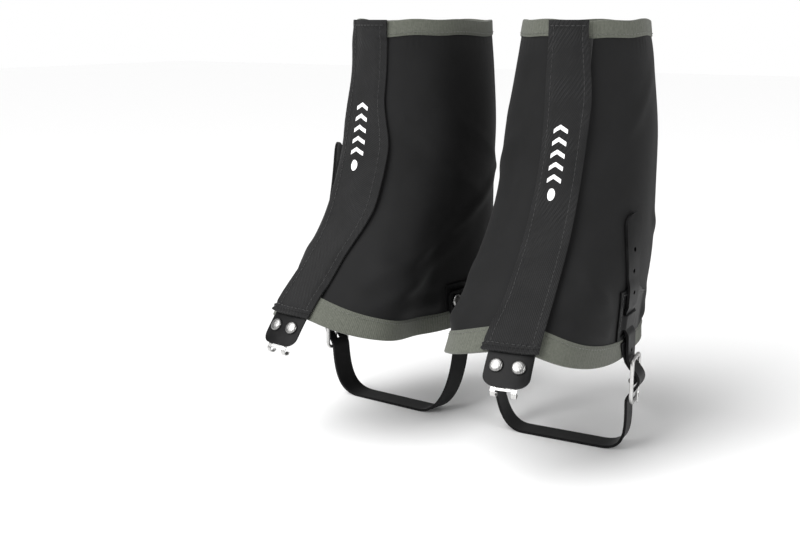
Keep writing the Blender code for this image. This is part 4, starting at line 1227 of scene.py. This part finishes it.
def make_keeper_patch(side):
    """Lateral patch with a raised band between two slits, a cut rear corner and a moulded rim."""
    front, rear, slant_from, slant = 0.061, 0.004, 0.032, 0.0085
    top, end = PATCH_DROPS
    band_top, band_end = BAND_DROPS
    slit_rear, slit_front = 0.0265, 0.0545
    columns = evenly(rear, 0.0235, 9) + evenly(slit_rear, slit_front, 23) + evenly(0.0570, front, 4)
    levels = [0.0, 0.35, 0.7, 1.0, 1.15, 1.85, 2.0, 2.25, 2.5, 2.75, 3.0, 3.15, 3.85, 4.0, 4.5, 5.0]
    marks = (top, band_top - SLIT_HEIGHT, band_top, band_end, band_end + SLIT_HEIGHT, end)

    def drop_at(forward, level):
        index = min(int(level), 4)
        low, high = marks[index], marks[index + 1]
        if index == 0:
            low += slant * smooth((slant_from - forward) / (slant_from - rear))
        if index == 4:
            high = lower_edge(side_angle(forward, end)) - BOTTOM_TAPE - 2 * GAP
        return low + (high - low) * (level - index)

    def point(forward, level, face):
        drop = drop_at(forward, level)
        over_strap = 1.0 - smooth((abs(forward - 0.0405) - 0.0101) / 0.0048)
        lift = (STRAP_THICK + 2 * GAP) * over_strap if 1.9 < level < 3.1 else 0.0
        near_end = min(drop - drop_at(forward, 0.0), drop_at(forward, 5.0) - drop)
        near_edge = min(forward - rear, front - forward, near_end)
        rim = 0.00035 * smooth((0.0016 - near_edge) / 0.0005)
        return side_point(forward, drop, OVER_SHELL + lift + (PATCH_THICK - 0.00015 + rim) * face)

    def keep(i, j):
        in_slit = slit_rear - 0.0001 <= columns[i] and columns[i + 1] <= slit_front + 0.0001
        return not (in_slit and levels[j] in (1.15, 3.15))

    def uv(forward, level):
        return forward, drop_at(forward, level)

    patch = sheet(side, "keeper_moulding", columns, levels, point, "moulded", keep, uv)
    refine(patch, bevel=0.0003)
    seat(patch, side, "gaiter", "keeper_patch")

    inset = 0.0030
    border = [(rear + inset, top + slant + inset - 0.001), (slant_from, top + inset)]
    border += [(front - inset, top + inset), (front - inset, 0.2185)]
    path, normals = [], []
    for corner, following in zip(border, border[1:]):
        for share in evenly(0.0, 1.0, 12)[:-1]:
            spot = Vector(corner).lerp(Vector(following), share)
            path.append(side_point(*spot, OVER_SHELL + PATCH_THICK))
            normals.append(side_normal(*spot))
    seat(stitches(side, "keeper_stitches", path, normals, "dark_thread"), side, "gaiter")


def make_anchor(side):
    """Medial patch under the strap's head, and the two rivets that hold the strap to it."""

    def point(forward, drop, face):
        return side_point(forward, drop, OVER_SHELL + (PATCH_THICK - 0.0001) * face, flank=-1)

    columns = evenly(ANCHOR_FORWARD - 0.017, ANCHOR_FORWARD + 0.017, 21)
    patch = sheet(side, "anchor_moulding", columns, evenly(0.2030, 0.2240, 13), point, "moulded")
    refine(patch, bevel=0.0004, segments=3)
    seat(patch, side, "gaiter", "anchor_patch")

    strap_face = ANCHOR_OFFSET + STRAP_THICK / 2
    for name, way in (("rear", -1), ("front", 1)):
        where = (ANCHOR_FORWARD + ANCHOR_RIVET_HALF * way, ANCHOR_RIVET_DROP)
        centre, normal = side_point(*where, strap_face, flank=-1), side_normal(*where, flank=-1)
        make_rivet(side, f"anchor_rivet_{name}", "gaiter", centre, normal, strap_face)


def make_buckle_tab(side):
    """Tapered tab from the patch, down inside the strap and round the centre bar."""
    leg_drops = evenly(0.2252, 0.2340, 7)
    points = [side_point(BUCKLE_FORWARD, drop, OVER_TAPE + PATCH_THICK / 2) for drop in leg_drops]
    back = STRAP_THICK / 2 + GAP + PATCH_THICK / 2
    for share in evenly(1.0, 0.38, 12):
        strap = buckle_run(-share)
        points.append(Vector((max(strap.x - back * 1.22, STRAP_INSIDE - back), BUCKLE_FORWARD, strap.z)))
    for degrees in evenly(55, -215, 26):
        points.append(around_bar(radians(degrees), WIRE_RADIUS + GAP + PATCH_THICK / 2))
    frames = route_frames(points)
    slot_half, slot_from = 0.0024, len(leg_drops) + 9
    wide, narrow = 0.0165, 0.0086
    columns = (-1.0, -0.9, -0.3, 0.3, 0.9, 1.0)

    def point(column, row, face):
        half = narrow + (wide - narrow) * (1.0 - smooth(row / 13.0)) ** 1.3
        reach = column * half if abs(column) > 0.5 else column * slot_half / 0.3
        if row < len(leg_drops):
            return side_point(BUCKLE_FORWARD + reach, leg_drops[row], OVER_TAPE + PATCH_THICK * (1 - face))
        centre, width_way, normal = frames[row]
        return centre + width_way * reach + normal * PATCH_THICK * (face - 0.5)

    def keep(i, j):
        return i != 2 or j < slot_from

    tab = sheet(side, "buckle_tab_moulding", columns, range(len(points)), point, "moulded", keep)
    refine(tab, bevel=0.0003)
    seat(tab, side, "gaiter", "buckle_tab")


def make_buckle_frame(side):
    """Polished wire frame with its centre bar."""
    rings = []
    for quarter in range(4):
        forward = (BUCKLE_HALF_WIDTH - BUCKLE_CORNER) * (1 if quarter in (0, 3) else -1)
        up = (BUCKLE_HALF_HEIGHT - BUCKLE_CORNER) * (1 if quarter in (0, 1) else -1)
        for turn in evenly(quarter * pi / 2, (quarter + 1) * pi / 2, 9):
            way = FORWARD * cos(turn) + UP * sin(turn)
            hub = BUCKLE_CENTRE + FORWARD * forward + UP * up + way * BUCKLE_CORNER
            rings.append(circle(hub, way, LATERAL, WIRE_RADIUS, 20))
    frame = loft(side, "buckle_wire", rings, "bright_steel", closed=True)
    ends = [BUCKLE_CENTRE + FORWARD * BUCKLE_HALF_WIDTH * way for way in (-1.0, 1.0)]
    sections = [circle(end, LATERAL, UP, WIRE_RADIUS * 0.98, 20) for end in ends]
    bar = loft(side, "bar", sections, "bright_steel")
    refine(frame, other=bar, operation="UNION")
    seat(frame, side, "buckle", "buckle_frame")


def make_buckle_pin(side):
    """Flat pin that turns round the centre bar and rests on the lower crossbar."""
    half_width, half_thick = 0.0012, 0.0005
    turns = evenly(radians(230), radians(-60), 26)
    path = [around_bar(turn, WIRE_RADIUS + GAP + half_thick) for turn in turns]
    start = path[-1]
    rest = BUCKLE_CENTRE + Vector((WIRE_RADIUS + GAP + 0.0006, 0.0, -BUCKLE_HALF_HEIGHT))
    path += [start.lerp(rest, share) for share in (0.12, 0.3, 0.6, 0.9, 1.0, 1.16)]
    frames = route_frames(path)
    sizes = [1.0] * (len(path) - 1) + [0.55]
    rings = [
        circle(centre, width_way * half_width, normal * half_thick, size, 12)
        for (centre, width_way, normal), size in zip(frames, sizes)
    ]
    seat(loft(side, "buckle_pin_wire", rings, "bright_steel"), side, "pin", "buckle_pin")


def make_gaiter(side):
    """All the visible pieces of one gaiter."""
    make_shell(side)
    make_tapes(side)
    make_strip(side, "loop_face", "loop_strip", "gaiter", OVER_SHELL, 1, "loop_pile")
    make_strip(side, "hook_face", "hook_strip", "flap", HOOK_BACK, 0, "hook_pile")
    make_flap(side)
    make_hook_tab(side)
    make_lace_hook(side)
    make_tab_rivets(side)
    make_strap(side)
    make_keeper_patch(side)
    make_anchor(side)
    make_buckle_tab(side)
    make_buckle_frame(side)
    make_buckle_pin(side)


# ---- Stage


def make_camera():
    """Camera at the height of the rims, in front on the left gaiter's side, tipped down."""
    right = Vector((cos(CAMERA_AZIMUTH), sin(CAMERA_AZIMUTH), 0.0))
    back = Vector((sin(CAMERA_AZIMUTH), -cos(CAMERA_AZIMUTH), 0.0))
    rim_middle = Vector((0.0, PAIR_BACK_SHIFT, RIM_HEIGHT))
    data = configure(bpy.data.cameras.new("camera"), lens=CAMERA_LENS, sensor_width=36.0)
    camera = add_object("camera", data)
    camera.location = back * CAMERA_DISTANCE + right * CAMERA_SLIDE + rim_middle
    camera.rotation_euler = (pi / 2 - CAMERA_PITCH, 0.0, CAMERA_AZIMUTH)
    bpy.context.scene.camera = camera


def make_floor(level):
    """Wide, flat, pale floor."""
    mesh_data = bmesh.new()
    bmesh.ops.create_grid(mesh_data, x_segments=2, y_segments=2, size=6.0)
    floor = add_object("floor", to_mesh("floor", mesh_data))
    floor.location.z = level
    floor.data.materials.append(Stock("floor_paint", None, (0.96, 0.96, 0.96), 0.6).made)


def make_light(name, location, size, power):
    """Square soft light aimed at the middle of the pair."""
    light = add_object(name, configure(bpy.data.lights.new(name, "AREA"), size=size, energy=power))
    way = Vector((0.0, 0.0, 0.18)) - Vector(location)
    configure(light, location=location, rotation_euler=way.to_track_quat("-Z", "Y").to_euler())


def make_lights():
    """White surroundings, a soft sun from above, a key from the upper left and a side light."""
    world = bpy.data.worlds.new("studio")
    world.use_nodes = True
    background = world.node_tree.nodes["Background"].inputs
    background["Color"].default_value = (1.0, 1.0, 1.0, 1.0)
    seen = add_node(world.node_tree, "LightPath", "Is Camera Ray", {})
    slots = {"Value": seen, "To Min": WORLD_LIGHT, "To Max": 1.0}
    brightness = add_node(world.node_tree, "MapRange", "Result", slots)
    world.node_tree.links.new(brightness, background["Strength"])
    bpy.context.scene.world = world
    sun = configure(bpy.data.lights.new("sun", "SUN"), energy=SUN_LIGHT, angle=radians(50.0))
    add_object("sun", sun).rotation_euler = (radians(28.0), radians(-22.0), 0.0)
    make_light("key", (-0.35, -1.3, 0.85), 0.8, 12.0)
    make_light("side", (1.4, -0.3, 0.6), 0.7, 7.0)


def main():
    """Builds the pair and its stage around the frame."""
    bpy.context.scene.view_settings.view_transform = "Standard"
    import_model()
    cad_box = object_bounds()
    make_materials()
    make_camera()
    make_lights()
    make_floor(cad_box[0][2])
    for side in SIDES:
        make_gaiter(side)


main()
